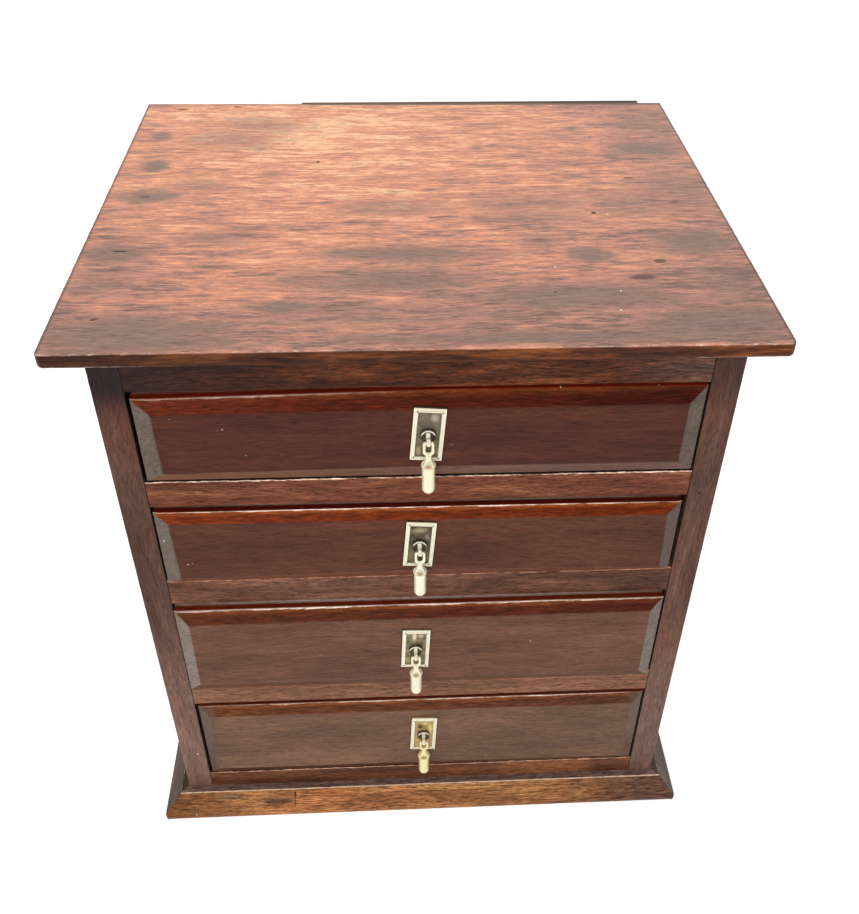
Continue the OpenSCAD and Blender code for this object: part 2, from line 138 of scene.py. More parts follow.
def stored(mark, output="Fac"):
    """A mark that the piece's mesh carries at each point or face."""
    return add("Attribute", attribute_name=mark).outputs[output]


def new_material(name):
    """An empty node material. Its tree is the one that add draws in from here on."""
    global tree
    material = bpy.data.materials.new(name)
    material.use_nodes = True
    tree = material.node_tree
    tree.nodes.clear()
    return material


# Studio
# A sheet of white paper that runs up into a white surround, a wide soft light overhead and a softer
# one in front. The side where the photographer stands is dim, which the polish shows.
paper_half = 3.0
dim_near = -0.6
dim_far = -0.2
paper_white = "#e6e6e6"
paper_glow = 0.58
paper = new_material("white_paper")
rays = add("LightPath").outputs
seen = maths("MAXIMUM", rays["Is Camera Ray"], rays["Is Transmission Ray"])
place = parts(add("TexCoord").outputs["Object"])
towards_back = ranged(place["Y"], dim_near, dim_far, 0.9)
mirrored = maths("MULTIPLY", rays["Is Glossy Ray"], towards_back)
shine = maths("ADD", maths("MULTIPLY", seen, paper_glow), mirrored)
glow = add("Emission", {"Strength": shine})
lit = add("BsdfDiffuse", {"Color": paper_white})
unlit = add("Emission", {"Strength": 0.0})
not_mirrored = add("MixShader", {"Fac": rays["Is Glossy Ray"], 1: lit, 2: unlit})
whole = add("AddShader", {0: not_mirrored, 1: glow})
add("OutputMaterial", {"Surface": whole})
bpy.ops.mesh.primitive_plane_add(size=2 * paper_half, location=(0, 0, 0))
floor = bpy.context.object
floor.name = "paper"
floor.data.materials.append(paper)

room_level = 0.5
room_dim = 0.12
world = bpy.data.worlds.new("white_surround")
world.use_nodes = True
scene.world = world
tree = world.node_tree
tree.nodes.clear()
rays = add("LightPath").outputs
facing = parts(add("TexCoord").outputs["Generated"])
behind = ranged(facing["Y"], -0.85, -0.35, room_dim, smooth=True)
mirrored, plain, white = [add("Background", {"Color": "#ffffff", "Strength": level})
                          for level in (behind, room_level, 1.0)]
around = add("MixShader", {"Fac": rays["Is Glossy Ray"], 1: plain, 2: mirrored})
seen = maths("MAXIMUM", rays["Is Camera Ray"], rays["Is Transmission Ray"])
around = add("MixShader", {"Fac": seen, 1: around, 2: white})
add("OutputWorld", {"Surface": around})


def soft_light(name, size, watts, place, aim, mirrored):
    """A square soft light that faces a point of the chest."""
    data = bpy.data.lights.new(name, "AREA")
    data.shape = "SQUARE"
    data.size = size
    data.energy = watts
    lamp = bpy.data.objects.new(name, data)
    lamp.matrix_world = Matrix.Translation(place) @ (
        Vector(place) - Vector(aim)).to_track_quat("Z", "Y").to_matrix().to_4x4()
    lamp.visible_glossy = mirrored
    scene.collection.objects.link(lamp)


soft_light("overhead", 1.1, 6.3, (0.1, 0.25, 1.5), (0, 0, 0.3), True)
soft_light("front", 1.0, 13.5, (-0.4, -1.5, 0.9), (0, 0, 0.15), False)

# Tools
# What every piece is made with: a sawn block, ways to pick its faces and edges, wear, and its finish.


def block(name, low, high):
    """A board as it comes from the saw: a cube at its size and place, with its object at the origin."""
    if bpy.context.mode != "OBJECT":
        bpy.ops.object.mode_set(mode="OBJECT")
    bpy.ops.object.select_all(action="DESELECT")
    bpy.ops.mesh.primitive_cube_add(size=1, location=(Vector(low) + Vector(high)) / 2,
                                    scale=Vector(high) - Vector(low))
    return placed(name)


def placed(name):
    """Names the new piece and moves its place and turn into its mesh."""
    piece = bpy.context.object
    piece.name = name
    piece.data.name = name
    bpy.ops.object.transform_apply(location=True, rotation=True, scale=True)
    return piece


def hold(piece, mode="OBJECT"):
    """Makes one piece the only one selected, in object or edit mode."""
    if bpy.context.mode != "OBJECT":
        bpy.ops.object.mode_set(mode="OBJECT")
    bpy.ops.object.select_all(action="DESELECT")
    bpy.context.view_layer.objects.active = piece
    piece.select_set(True)
    if mode != "OBJECT":
        bpy.ops.object.mode_set(mode=mode)


def take(piece):
    """Selects all of a piece in edit mode."""
    hold(piece, "EDIT")
    bpy.ops.mesh.select_all(action="SELECT")


def pick_faces(piece, test):
    """Selects in edit mode the faces whose middle and normal pass a test."""
    hold(piece, "EDIT")
    bpy.ops.mesh.select_mode(type="FACE")
    bpy.ops.mesh.select_all(action="DESELECT")
    shape = bmesh.from_edit_mesh(piece.data)
    for face in shape.faces:
        if test(face.calc_center_median(), face.normal):
            face.select_set(True)
    shape.select_flush_mode()
    bmesh.update_edit_mesh(piece.data)


def pick_edges(piece, test):
    """Selects in edit mode the edges whose two ends pass a test, and gives those ends."""
    hold(piece, "EDIT")
    bpy.ops.mesh.select_mode(type="EDGE")
    bpy.ops.mesh.select_all(action="DESELECT")
    shape = bmesh.from_edit_mesh(piece.data)
    ends = []
    for edge in shape.edges:
        a, b = edge.verts[0].co, edge.verts[1].co
        if test(a, b):
            edge.select_set(True)
            ends.append((a.copy(), b.copy()))
    shape.select_flush_mode()
    bmesh.update_edit_mesh(piece.data)
    return ends


def near(value, *targets):
    """Whether a length is within a hundredth of a millimetre of one of the targets."""
    return any(abs(value - target) < exact for target in targets)


def runs_along(a, b, axis):
    """Whether an edge lies along an axis: 0, 1 or 2."""
    line = b - a
    return abs(line[axis]) > 0.999 * line.length


def edges_along(axis, **places):
    """A test for the edges that lie along an axis at given places, such as y=low.y."""
    return lambda a, b: runs_along(a, b, axis) and all(
        near(getattr(a, name), place) for name, place in places.items())


def slice_along(piece, axis, step):
    """Cuts the long edges that lie along an axis into short steps, for wear to bite into."""
    ends = pick_edges(piece, lambda a, b: runs_along(a, b, axis) and (b - a).length > 3 * step)
    longest = max((b - a).length for a, b in ends)
    bpy.ops.mesh.subdivide(number_cuts=int(longest / step))


def soften(piece, test, width, segments=4, profile=0.6, mark="worn", strength=1):
    """Rounds the arrises that pass a test, and marks on the mesh how near each point is to one.
    Strength is an arris's share of the mark, or a function that gives it."""
    lines = pick_edges(piece, test)
    bpy.ops.mesh.bevel(offset=width, offset_type="OFFSET", segments=segments, profile=profile,
                       affect="EDGES")
    bpy.ops.object.mode_set(mode="OBJECT")
    mesh = piece.data
    points = np.empty(3 * len(mesh.vertices))
    mesh.vertices.foreach_get("co", points)
    points = points.reshape(-1, 3)
    kept = mesh.attributes.get(mark) or mesh.attributes.new(mark, "FLOAT", "POINT")
    level = np.zeros(len(points))
    kept.data.foreach_get("value", level)
    for a, b in lines:
        start, span = np.array(a), np.array(b - a)
        along = np.clip((points - start) @ span / (span @ span), 0, 1)
        away = np.linalg.norm(points - start - along[:, None] * span, axis=1)
        share = strength(a, b) if callable(strength) else strength
        level = np.maximum(level, share * np.clip(1 - away / width, 0, 1))
    kept.data.foreach_set("value", level)


def rub(piece, depth, size):
    """Wears the softened arrises unevenly, by up to a depth, in dents of about a given size."""
    hold(piece)
    group = piece.vertex_groups.new(name="worn")
    for i, mark in enumerate(piece.data.attributes["worn"].data):
        if mark.value > 0:
            group.add([i], mark.value, "REPLACE")
    dents = bpy.data.textures.new("dents", "CLOUDS")
    dents.noise_scale = size
    dents.noise_depth = 3
    rubbing = piece.modifiers.new("rubbing", "DISPLACE")
    rubbing.texture = dents
    rubbing.texture_coords = "LOCAL"
    rubbing.vertex_group = "worn"
    rubbing.mid_level = 0.3
    rubbing.strength = -2 * depth
    bpy.ops.object.modifier_apply(modifier="rubbing")
    piece.vertex_groups.clear()


def done(piece, material, body, nodes):
    """Shades a finished piece, gives it its finish and says what it rides on and stands for."""
    hold(piece)
    bpy.ops.object.shade_smooth_by_angle(angle=smooth_angle)
    evening = piece.modifiers.new("evening", "WEIGHTED_NORMAL")
    evening.keep_sharp = True
    bpy.ops.object.modifier_apply(modifier="evening")
    piece.data.materials.clear()
    piece.data.materials.append(material)
    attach(piece, body)
    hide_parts(*nodes)


# Top board
# One thin mahogany board, screwed on from inside, with its grain from side to side. Its front
# corners are rounded, its arrises rubbed pale with a painted highlight along them, and the sun has
# bleached its middle round old stains.
corner_r = 3 * mm
top_lower_r = 2.2 * mm
top_upper_w = 1.3 * mm

low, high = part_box("top_board")
top_board = block("top", low, high)
pick_edges(top_board, edges_along(2, y=low.y))
bpy.ops.mesh.bevel(offset=corner_r, segments=6, affect="EDGES")
slice_along(top_board, 0, fine_step)
slice_along(top_board, 1, 2 * fine_step)


def rim_edge(height):
    """A test for the top board's front and side edges at a height."""
    return lambda a, b: near(a.z, height) and near(b.z, height) and not (
        near(a.y, high.y) and near(b.y, high.y)) and outermost(a) and outermost(b)


def outermost(p):
    """Whether a point is on the top board's rim, its rounded corners included."""
    x = abs(p.x) - (high.x - corner_r)
    y = low.y + corner_r - p.y
    if x > 0 and y > 0:
        return abs(math.hypot(x, y) - corner_r) < 2 * exact
    return near(max(x, y), corner_r)


soften(top_board, rim_edge(low.z), top_lower_r, segments=5, profile=0.5, strength=0.75)
soften(top_board, rim_edge(high.z), top_upper_w, segments=5, profile=0.7)
rub(top_board, depth=0.35 * mm, size=4 * mm)

# The grain sways by so much, over about such a distance
drift_size = 70 * mm
sway = 9 * mm


def timber(along, place, coarse=1.0):
    """The patterns, 0 to 1, of a board sawn along an axis, from its broad patches and its figure down to
    its streaks, fibres and pores."""
    turn = {"X": (0, 0, 0), "Y": (0, 0, -math.pi / 2), "Z": (0, math.pi / 2, 0)}[along]
    where = add("TexCoord").outputs["Object"]
    board = add("Mapping", {"Vector": where, "Rotation": turn, "Location": place})
    drift = add("TexNoise", {"Vector": board, "Scale": 1 / drift_size, "Detail": 1})
    swayed = add("VectorMath", {0: drift.outputs["Color"], 1: (0, sway, sway), 2: board},
                 operation="MULTIPLY_ADD")

    def pattern(across, length, detail, roughness, **more):
        """Noise whose marks are so wide across the grain and so long along it."""
        drawn = add("Mapping", {"Vector": swayed, "Scale": (across / length, 1, 1)})
        return add("TexNoise", {"Vector": drawn, "Scale": 1 / across, "Detail": detail,
                                "Roughness": roughness, **more})
    return {
        "where": where,
        "figure": pattern(8 * mm, 80 * mm, 5, 0.65, Distortion=0.4),
        "streaks": pattern(1.1 * coarse * mm, 14 * mm, 4, 0.75),
        "fibres": pattern(0.75 * coarse * mm, 7 * mm, 2, 0.7),
        "pores": pattern(0.5 * coarse * mm, 4 * mm, 1, 0.5),
        "glints": pattern(3.2 * mm, 38 * mm, 4, 0.65),
        "patches": pattern(32 * mm, 75 * mm, 3, 0.55),
        "ragged": pattern(1.4 * mm, 4 * mm, 4, 0.65),
        "clouds": pattern(9 * mm, 24 * mm, 5, 0.65),
    }


def spot(where, centre, radii):
    """A round or oval mark, 1 at its centre and 0 at its radii."""
    around = add("Mapping", {"Vector": where, "Location": centre, "Scale": radii}, vector_type="TEXTURE")
    return add("TexGradient", {"Vector": around}, gradient_type="SPHERICAL")


def scaled(colour, level):
    """The colour made darker or lighter by a level."""
    return add("VectorMath", {0: colour, "Scale": level}, operation="SCALE")


def streaked(colour, wood, contrast):
    """The colour made lighter and darker along the fine streaks of the grain."""
    level = maths("MULTIPLY_ADD", wood["fibres"], 0.8, wood["streaks"])
    return scaled(colour, ranged(level, 0.63, 1.17, 1 - contrast, 1 + contrast))


def marked(colour, where, centre, radii, mark, soft=0.35):
    """A round or oval mark of its own colour on a colour, in millimetres."""
    oval = spot(where, Vector(centre) * mm, Vector(radii) * mm)
    return mixed(ranged(oval, 0.05, 0.05 + soft), colour, mark)


def graded(place, start, end, first, last):
    """A colour that changes slowly from one to another between two places along an axis."""
    return mixed(between(place, start, end), first, last)


def polish(material, colour, roughness, relief, coat, depth=0.12 * mm):
    """The finish of French-polished wood: a thin worn coat over grain that can just be felt."""
    bump = add("Bump", {"Height": relief, "Strength": 0.5, "Distance": depth})
    shader = add("BsdfPrincipled", {
        "Base Color": colour, "Roughness": roughness, "Normal": bump, "Coat Weight": coat,
        "Coat Roughness": 0.18, "Specular IOR Level": 0.12})
    add("OutputMaterial", {"Surface": shader})
    return material


# Old French polish on mahogany, bleached by the sun: salmon in the middle, brown at the rim, with
# grey stains drawn out along the grain. Each stain is x, y, half its length and half its depth.
dark_stains = [
    (-149, 91, 6, 8), (-146, 48, 7, 8), (-143, 8, 14, 7), (-5, -60, 35, 8), (-11, -85, 37, 10),
    (-59, -109, 12, 5), (-147, -56, 16, 11), (-128, -132, 40, 15), (139, 68, 18, 10), (141, -49, 17, 12),
    (137, -127, 30, 11), (85, -63, 9, 7), (71, -103, 43, 11), (60, -138, 90, 5),
]
faint_stains = [
    (-119, 21, 14, 6), (-14, -7, 23, 10), (-150, -85, 12, 13), (-99, -42, 14, 7), (-89, 108, 22, 10),
    (-105, 86, 23, 14), (62, -47, 10, 7), (58, -4, 24, 9), (59, -22, 23, 7), (144, 10, 16, 27),
    (128, 139, 23, 8), (108, -86, 7, 4), (117, -4, 16, 15), (149, -92, 14, 17), (-20, -118, 60, 9),
    (150, 110, 20, 30),
]
# Worm holes and nicks in the polish, chips and scratches, and flecks, in the same way
dark_nicks = [
    (94.9, -16.3, 1.7, 1.7), (63.6, -99.1, 0.7, 0.9), (-143.9, 7.1, 3.5, 0.9), (-145.8, -54.4, 5, 0.9),
    (-145.6, -118.6, 1.4, 0.8), (-53.6, 51.9, 1.3, 1.6),
]
chips = [
    (119.3, -70.1, 4, 2.6), (108, -86, 8, 2.6), (121.7, 27.4, 4, 1.3), (141, -4, 3, 1.2),
    (-141.8, 134.3, 4, 1.5), (-108.2, 138.4, 3.5, 1.2), (-144.4, -117.8, 1.6, 1.2),
]
pale_flecks = [(x, y, 0.6, 0.8) for x, y in (
    (107, 84), (-137.3, 115.1), (102.2, -17.9), (66.7, -74.8), (91.5, -116.1), (94.6, -98.9))]
# How deep a mark reaches, the levels between which a stain fades in, and what brings the sum of the
# bleached grain's patterns down to 0 to 1
right_through = 900
stain_levels = (2.16, 2.66)
bleach_start = -2.38


def blotches(wood, top_z, places):
    """Where oval stains lie, 0 to 1, their edges drawn out along the grain."""
    held = None
    for x, y, length, deep in places:
        oval = spot(wood["where"], (x * mm, y * mm, top_z), (2.1 * length * mm, 1.8 * deep * mm, 1))
        held = maths("MAXIMUM", oval, held) if held else oval
    for name, share in (("clouds", 2.2), ("streaks", 1.0), ("glints", 0.6)):
        held = maths("MULTIPLY_ADD", wood[name], share, held)
    return ranged(held, *stain_levels, smooth=True)


bleached = new_material("sun_bleached_mahogany_polish")
wood = timber("X", (0, 0, 0), coarse=1.5)
at = parts(wood["where"])
sunned = spot(wood["where"], (-45 * mm, 110 * mm, high.z), (290 * mm, 330 * mm, 1))
level = maths("MULTIPLY_ADD", sunned, 0.8, bleach_start)
for name, share in (("glints", 1.3), ("clouds", 1.9), ("figure", 0.7), ("streaks", 1.15)):
    level = maths("MULTIPLY_ADD", wood[name], share, level)
colour = ramp(level, (0.0, "#87695d"), (0.24, "#aa7c6c"), (0.46, "#c98b74"), (0.68, "#df9878"),
              (0.86, "#eca27c"), (1.0, "#ffc49a"))
for places, share in ((faint_stains, 0.5), (dark_stains, 0.9)):
    stained = blotches(wood, high.z, places)
    colour = mixed(maths("MULTIPLY", stained, share), colour, "#8a7064")
colour = streaked(colour, wood, 0.3)
pored = ranged(wood["pores"], 0.6, 0.7)
colour = mixed(maths("MULTIPLY", pored, 0.3), colour, "#5b3225")
for places, mark in ((dark_nicks, "#3a2218"), (chips, "#714f43"), (pale_flecks, "#f0e2d6")):
    for x, y, length, deep in places:
        colour = marked(colour, wood["where"], (x, y, high.z / mm), (length, deep, right_through), mark)
aside = maths("ABSOLUTE", at["X"])
side_dirt = ranged(aside, high.x - 2.2 * mm, high.x - 1.0 * mm, 0.0, 0.75)
colour = mixed(side_dirt, colour, "#5a4038")
back_dirt = ranged(at["Y"], high.y - 3.4 * mm, high.y - 2.4 * mm, 0.0, 0.9)
dirt_start = between(at["X"], -78, -60, 0.25)
back_dirt = maths("MULTIPLY", back_dirt, dirt_start)
colour = mixed(back_dirt, colour, "#5e5044")
rim = ranged(at["Z"], high.z - 0.4 * mm, high.z - 1.0 * mm)
browned = maths("MULTIPLY", wood["figure"], wood["glints"])
side_brown = ramp(browned, (0.16, "#35190e"), (0.25, "#4a2411"), (0.36, "#74401d"))
side_brown = scaled(side_brown, between(at["X"], -150, 110, 0.75, 1.35))
colour = mixed(rim, colour, streaked(side_brown, wood, 0.6))
# Pale arrises: worn wood and a painted highlight along them, paler on the rim near the ends
worn = stored("worn")
bared_and_highlit = maths("MULTIPLY_ADD", wood["ragged"], 0.9, worn)
near_end = between(aside, 60, 130, 0.0, 0.4)
near_end = maths("MULTIPLY", near_end, rim)
bared_and_highlit = maths("ADD", bared_and_highlit, near_end)
bared_and_highlit = ranged(bared_and_highlit, 1.14, 1.34)
on_front = ranged(at["Y"], low.y + 5 * mm, low.y + 3 * mm)
bared_and_highlit = maths("MULTIPLY", bared_and_highlit, on_front)
bare_wood_and_highlight = mixed(rim, "#f0d0ba", "#a58878")
colour = mixed(bared_and_highlit, colour, bare_wood_and_highlight)
relief = maths("MULTIPLY_ADD", pored, -0.6, wood["streaks"])
dull = ranged(wood["patches"], 0.0, 1.0, 0.34, 0.52)
polish(bleached, colour, dull, relief, 0.15)
done(top_board, bleached, "carcase", ["top_board"])

# Sides
# Two solid mahogany boards with the grain upright. The front edges are rubbed and bumped along
# both arrises, redder where hands have worn the polish.
left_low, left_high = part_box("left_side")
case_front = left_low.y
side_inner = left_high.x
side_arris = 0.9 * mm
joint_w = 0.5 * mm


def mahogany(name, along, place, dark, mid, light, bare_wood_and_highlight, red=None, contrast=0.4, pores=0.6, wear=0.0,
             rough=0.38, coat=0.1, details=None):
    """Old French-polished mahogany. Red is where it is rubbed, the pale arrises are bare wood with a
    painted highlight, wear moves them up or down, and details adds a piece's own marks. A joint is black
    with dirt."""
    material = new_material(name)
    wood = timber(along, place)
    colour = ramp(wood["figure"], (0.32, dark), (0.5, mid), (0.7, light))
    if red:
        colour = mixed(ranged(wood["patches"], 0.52, 0.68), colour, red)
    if details:
        colour = details(wood, colour)
    colour = streaked(colour, wood, contrast)
    pored = ranged(wood["pores"], 0.56, 0.66)
    colour = mixed(maths("MULTIPLY", pored, pores), colour, "#241209")
    worn = stored("worn")
    # Pale arrises: wood rubbed bare, and a painted highlight along the rounded arris
    bared_and_highlit = maths("MULTIPLY_ADD", wood["ragged"], 0.9, worn)
    bared_and_highlit = ranged(bared_and_highlit, 1.02 - wear, 1.2 - wear)
    colour = mixed(bared_and_highlit, colour, bare_wood_and_highlight)
    colour = mixed(ranged(stored("joint"), 0.0, 0.15), colour, "#150a07")
    relief = maths("MULTIPLY_ADD", pored, -0.8, wood["streaks"])
    dull = ranged(wood["patches"], 0.0, 1.0, rough - 0.08, rough + 0.12)
    return polish(material, colour, dull, relief, coat)


def marks(*places):
    """A piece's own marks, each a centre, radii and a colour, for mahogany's details."""
    def details(wood, colour):
        for centre, radii, mark in places:
            colour = marked(colour, wood["where"], centre, radii, mark)
        return colour
    return details


pale_fleck = "#e8d8cc"
near_black = "#120806"


def side_details(mark, dirt, painted_light_levels):
    """A side's own mark, its painted light and shade at each height, and painted shade, with some dirt,
    under the top's overhang.
    """
    def details(wood, colour):
        where = parts(wood["where"])
        height = where["Z"]
        # Painted light and shade: the side lighter or darker from its head to its foot
        colour = scaled(colour, painted_light_levels[0][1])
        for (start, first), (end, last) in zip(painted_light_levels, painted_light_levels[1:]):
            colour = scaled(colour, between(height, start, end, 1.0, last / first))
        faded = between(height, 165, 100, 0.0, 0.3)
        colour = mixed(faded, colour, "#806f64")
        # Painted shade, with some dirt, under the top's overhang near the front
        dark = between(height, 303, 325, 0.0, dirt, smooth=True)
        at_front = ranged(where["Y"], case_front + 25 * mm, case_front + 2 * mm, 0.3)
        dark = maths("MULTIPLY", dark, at_front)
        colour = mixed(dark, colour, "#211a1d")
        return marks(mark)(wood, colour)
    return details


# Each side's place in the grain, its shades, where it is rubbed, its mark, how dark its painted shade,
# with some dirt, is under the top, and its painted light and shade from its head to its foot, as heights
# and levels
side_looks = {
    "left": ((0.3, 0.7, 0.1), ("#472b22", "#573a2f", "#67493c"), "#64382a",
             ((-140.2, -131.1, 48.1), (0.5, 2, 0.8), pale_fleck), 0.9,
             [(250, 1.0), (228, 0.86), (190, 0.97), (147, 1.45), (105, 2.05), (65, 2.15)]),
    "right": ((0.9, 0.2, 0.5), ("#482d24", "#583b30", "#684a3d"), "#633c2e",
              ((141.3, -131.1, 253.8), (0.8, 2, 0.8), near_black), 0.5,
              [(300, 1.3), (262, 0.92), (228, 1.2), (190, 1.45), (147, 1.45), (105, 1.7), (65, 1.85)]),
}
for side, (place, shades, red, *own) in side_looks.items():
    upright = mahogany(f"{side}_side_mahogany_polish", "Z", place, *shades, "#b08a76", red=red,
                       contrast=0.45, pores=0.3, wear=-0.1, details=side_details(*own))
    low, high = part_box(f"{side}_side")
    board = block(f"side_{side}", low, high)
    slice_along(board, 2, board_step)
    inner_x = high.x if side == "left" else low.x
    soften(board, lambda a, b: runs_along(a, b, 2) and near(a.y, low.y) and not near(a.x, inner_x),
           side_arris)
    soften(board, edges_along(2, x=inner_x, y=low.y), joint_w, segments=2, mark="joint")
    rub(board, depth=0.3 * mm, size=5 * mm)
    done(board, upright, "carcase", [f"{side}_side"])

# Back board
# One wide board nailed over the ends of the sides, whose upper edge stands behind the top, is sawn a
# little out of level and has lost a strip at its left end. Its outer face was never polished. The
# nails are cut iron, heads flush.
back_fall = 1.2 * mm
step_x = -68 * mm
step_down = 2.4 * mm
back_round = 0.6 * mm


def cad_copy(node):
    """A merged copy of a CAD node's mesh, to cut with."""
    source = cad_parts[node]
    piece = bpy.data.objects.new(f"cutter_{node}", source.data.copy())
    scene.collection.objects.link(piece)
    take(piece)
    bpy.ops.mesh.remove_doubles(threshold=0.001 * mm)
    bpy.ops.object.mode_set(mode="OBJECT")
    return piece


def work(piece, cutter, operation):
    """Cuts one piece with another, or joins the two, and throws the other away."""
    hold(piece)
    step = piece.modifiers.new("step", "BOOLEAN")
    step.operation = operation
    step.solver = "EXACT"
    step.object = cutter
    bpy.ops.object.modifier_apply(modifier="step")
    bpy.data.objects.remove(cutter)


low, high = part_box("back_board")
back = block("back", low, high)
pick_edges(back, edges_along(1, x=low.x, z=high.z))
bpy.ops.transform.translate(value=(0, 0, -back_fall))
for x in (step_x - 2 * mm, step_x):
    bpy.ops.mesh.select_all(action="SELECT")
    bpy.ops.mesh.bisect(plane_co=(x, 0, 0), plane_no=(1, 0, 0))
pick_edges(back, lambda a, b: max(a.x, b.x) < step_x - mm and min(a.z, b.z) > high.z - 2 * back_fall)
bpy.ops.transform.translate(value=(0, 0, -step_down))
soften(back, lambda a, b: near(a.y, high.y) and near(b.y, high.y) and (
    not runs_along(a, b, 2) or near(a.x, low.x, high.x)), back_round, segments=3)
work(back, cad_copy("back_nails"), "DIFFERENCE")
rough_back = mahogany("unpolished_mahogany_back", "X", (0.2, 0.1, 0.9), "#4a3127", "#634638", "#7c5a49",
                      "#a08472", red="#6b4232", pores=0.5, rough=0.62, coat=0.0)
done(back, rough_back, "carcase", ["back_board"])

# Rails
# The frieze rail under the top, three rails between the drawers and the front of the bottom board,
# all of plainer, open-pored mahogany tenoned into the sides. Drawers have rubbed their upper arrises,
# which also carry a painted highlight, and the gap over some rails is painted black as shadow.
rail_arris = 1.2 * mm
bottom_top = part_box("bottom_board")[1].z
golden_x = 78 * mm

# Three shades and the rubbed arris colour, which is also a painted highlight, then how far under its
# top a rail is painted black as the gap's shadow and how far rubbed, in millimetres, and last how light
# its left and right ends are
rail_colours = {
    "rail_1": ("#5a301e", "#75402b", "#9c6546", "#ffd8c0", 1.4, 2.1, 1.05, 1.0),
    "rail_2": ("#4a2d21", "#65402f", "#845947", "#c48a70", 0.0, 1.0, 1.35, 0.82),
    "rail_3": ("#64422f", "#7e533d", "#9a6e54", "#c08c70", 0.0, 1.0, 1.05, 1.2),
    "bottom_board": ("#4e2c1c", "#673d28", "#885234", "#d8a488", 1.0, 1.8, 0.8, 1.1),
}


def rail_details(top, bare_wood_and_highlight, gap_shadow_to, rubbed_to, left, right):
    """The painted shadow of the gap over a rail, near black, and the broken pale line where drawers have
    rubbed it, which is also a painted highlight. The bottom board has kept a golden patch too."""
    def details(wood, colour):
        where = parts(wood["where"])
        colour = scaled(colour, between(where["X"], -110, 110, left, right))
        if near(top, bottom_top):
            golden = spot(wood["where"], (golden_x, 0, top), (36 * mm, 1, 0.1))
            colour = mixed(ranged(golden, 0.0, 0.35, 0.0, 0.85), colour, "#925d3a")
        # Painted highlight and wear: a broken pale line just under the rail's top
        wander = maths("MULTIPLY_ADD", wood["ragged"], 1.6 * mm, where["Z"])
        level = top + 0.8 * mm
        rubbed = ranged(wander, level - (rubbed_to + 0.15) * mm, level - (rubbed_to - 0.15) * mm)
        broken = ranged(wood["streaks"], 0.42, 0.52, 0.15)
        rubbed = maths("MULTIPLY", rubbed, broken)
        colour = mixed(rubbed, colour, bare_wood_and_highlight)
        # Painted shadow: the gap over the rail, near black
        black = ranged(wander, level - (gap_shadow_to + 0.1) * mm, level - (gap_shadow_to - 0.1) * mm)
        return mixed(black, colour, near_black)
    return details


def aged(colour, along, *ends):
    """A colour that turns towards another one between two places, in millimetres, up to a share."""
    for start, end, share, shade in ends:
        colour = mixed(between(along, start, end, 0.0, share), colour, shade)
    return colour


def frieze_details(wood, colour):
    """The frieze is darker and bluer towards its left end and faded at its right one, and has one black
    spot.
    """
    side = parts(wood["where"])["X"]
    colour = scaled(colour, between(side, -120, 60, 0.72, 1.06))
    colour = aged(colour, side, (-40, -130, 0.8, "#2c1b1a"), (90, 130, 0.4, "#6a5a55"))
    return marked(colour, wood["where"], (8.1, -131.1, 327.5), (0.7, 2, 0.7), near_black)


for node in ("frieze_rail", "rail_1", "rail_2", "rail_3", "bottom_board"):
    low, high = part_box(node)
    rail = block(f"{node}_piece", (side_inner, low.y, low.z), (-side_inner, high.y, high.z))
    slice_along(rail, 0, fine_step)
    if node == "frieze_rail":
        finish = mahogany("frieze_mahogany_polish", "X", (0.1, 0.6, 0.2), "#36190f", "#572a15", "#8a4c26",
                          "#b98a70", red="#5a3324", contrast=0.85, pores=0.6, wear=-0.2,
                          details=frieze_details)
    else:
        *shades, bare_wood_and_highlight, gap_shadow_to, rubbed_to, left, right = rail_colours[node]
        soften(rail, edges_along(0, y=low.y, z=high.z), rail_arris, segments=6, profile=0.5, strength=0.5)
        rub(rail, depth=0.3 * mm, size=4 * mm)
        finish = mahogany(f"{node}_mahogany_polish", "X", (0.5, 0.2, low.z), *shades, bare_wood_and_highlight, contrast=0.6,
                          pores=0.6, wear=-0.2,
                          details=rail_details(high.z, bare_wood_and_highlight, gap_shadow_to, rubbed_to, left, right))
    if node != "bottom_board":
        soften(rail, edges_along(0, y=low.y, z=low.z), joint_w, segments=2, mark="joint", strength=0.1)
    done(rail, finish, "carcase", [node])

# Plinth
# Three lengths of a sloping moulding, mitred at the front corners and glued and pinned round the
# case. Open-pored golden mahogany, its upper arris knocked pale.
plinth_out = 15 * mm
ledge_w = 5 * mm
foot_h = 3.2 * mm
foot_r = 1.2 * mm
foot_corner_r = 3 * mm
ledge_round = 0.9 * mm
foot_round = 0.7 * mm
mitre_round = 0.4 * mm
round_steps = 6


def slice_off(piece, point, normal):
    """Saws the piece through a point and keeps what lies behind the plane."""
    take(piece)
    bpy.ops.mesh.bisect(plane_co=point, plane_no=normal, use_fill=True, clear_outer=True)


plinth_flecks = marks(((-93, -141, 8.5), (13, 4, 1.6), "#6f5038"),
                      ((-124, -139, 11.5), (10, 5, 2), "#8a6548"),
                      ((-82.2, -138, 11.4), (0.9, 5, 1.8), "#3a2418"),
                      ((-82.2, -140, 8), (0.4, 7, 5.5), "#5c3c28"),
                      ((-145, -145.7, 3.7), (0.5, 2, 0.6), pale_fleck))


def plinth_marks(wood, colour):
    """Darker ends, a painted pool of light left of the middle, the ledge's old dirt, a crack with its faint
    stain, and a fleck of paint.
    """
    where = parts(wood["where"])
    colour = aged(colour, where["X"], (85, 140, 0.8, "#543f3a"), (-95, -150, 0.55, "#6c4022"))
    # Painted light: a broad pool of light on the front, left of the middle
    lit = spot(wood["where"], (-60 * mm, -140 * mm, 8 * mm), (75 * mm, 1, 1))
    colour = scaled(colour, ranged(lit, 0.0, 0.6, 1.0, 1.42))
    on_ledge = ranged(where["Z"], plinth_top - 0.6 * mm, plinth_top - 0.2 * mm)
    colour = mixed(on_ledge, colour, "#785f56")
    return plinth_flecks(wood, colour)


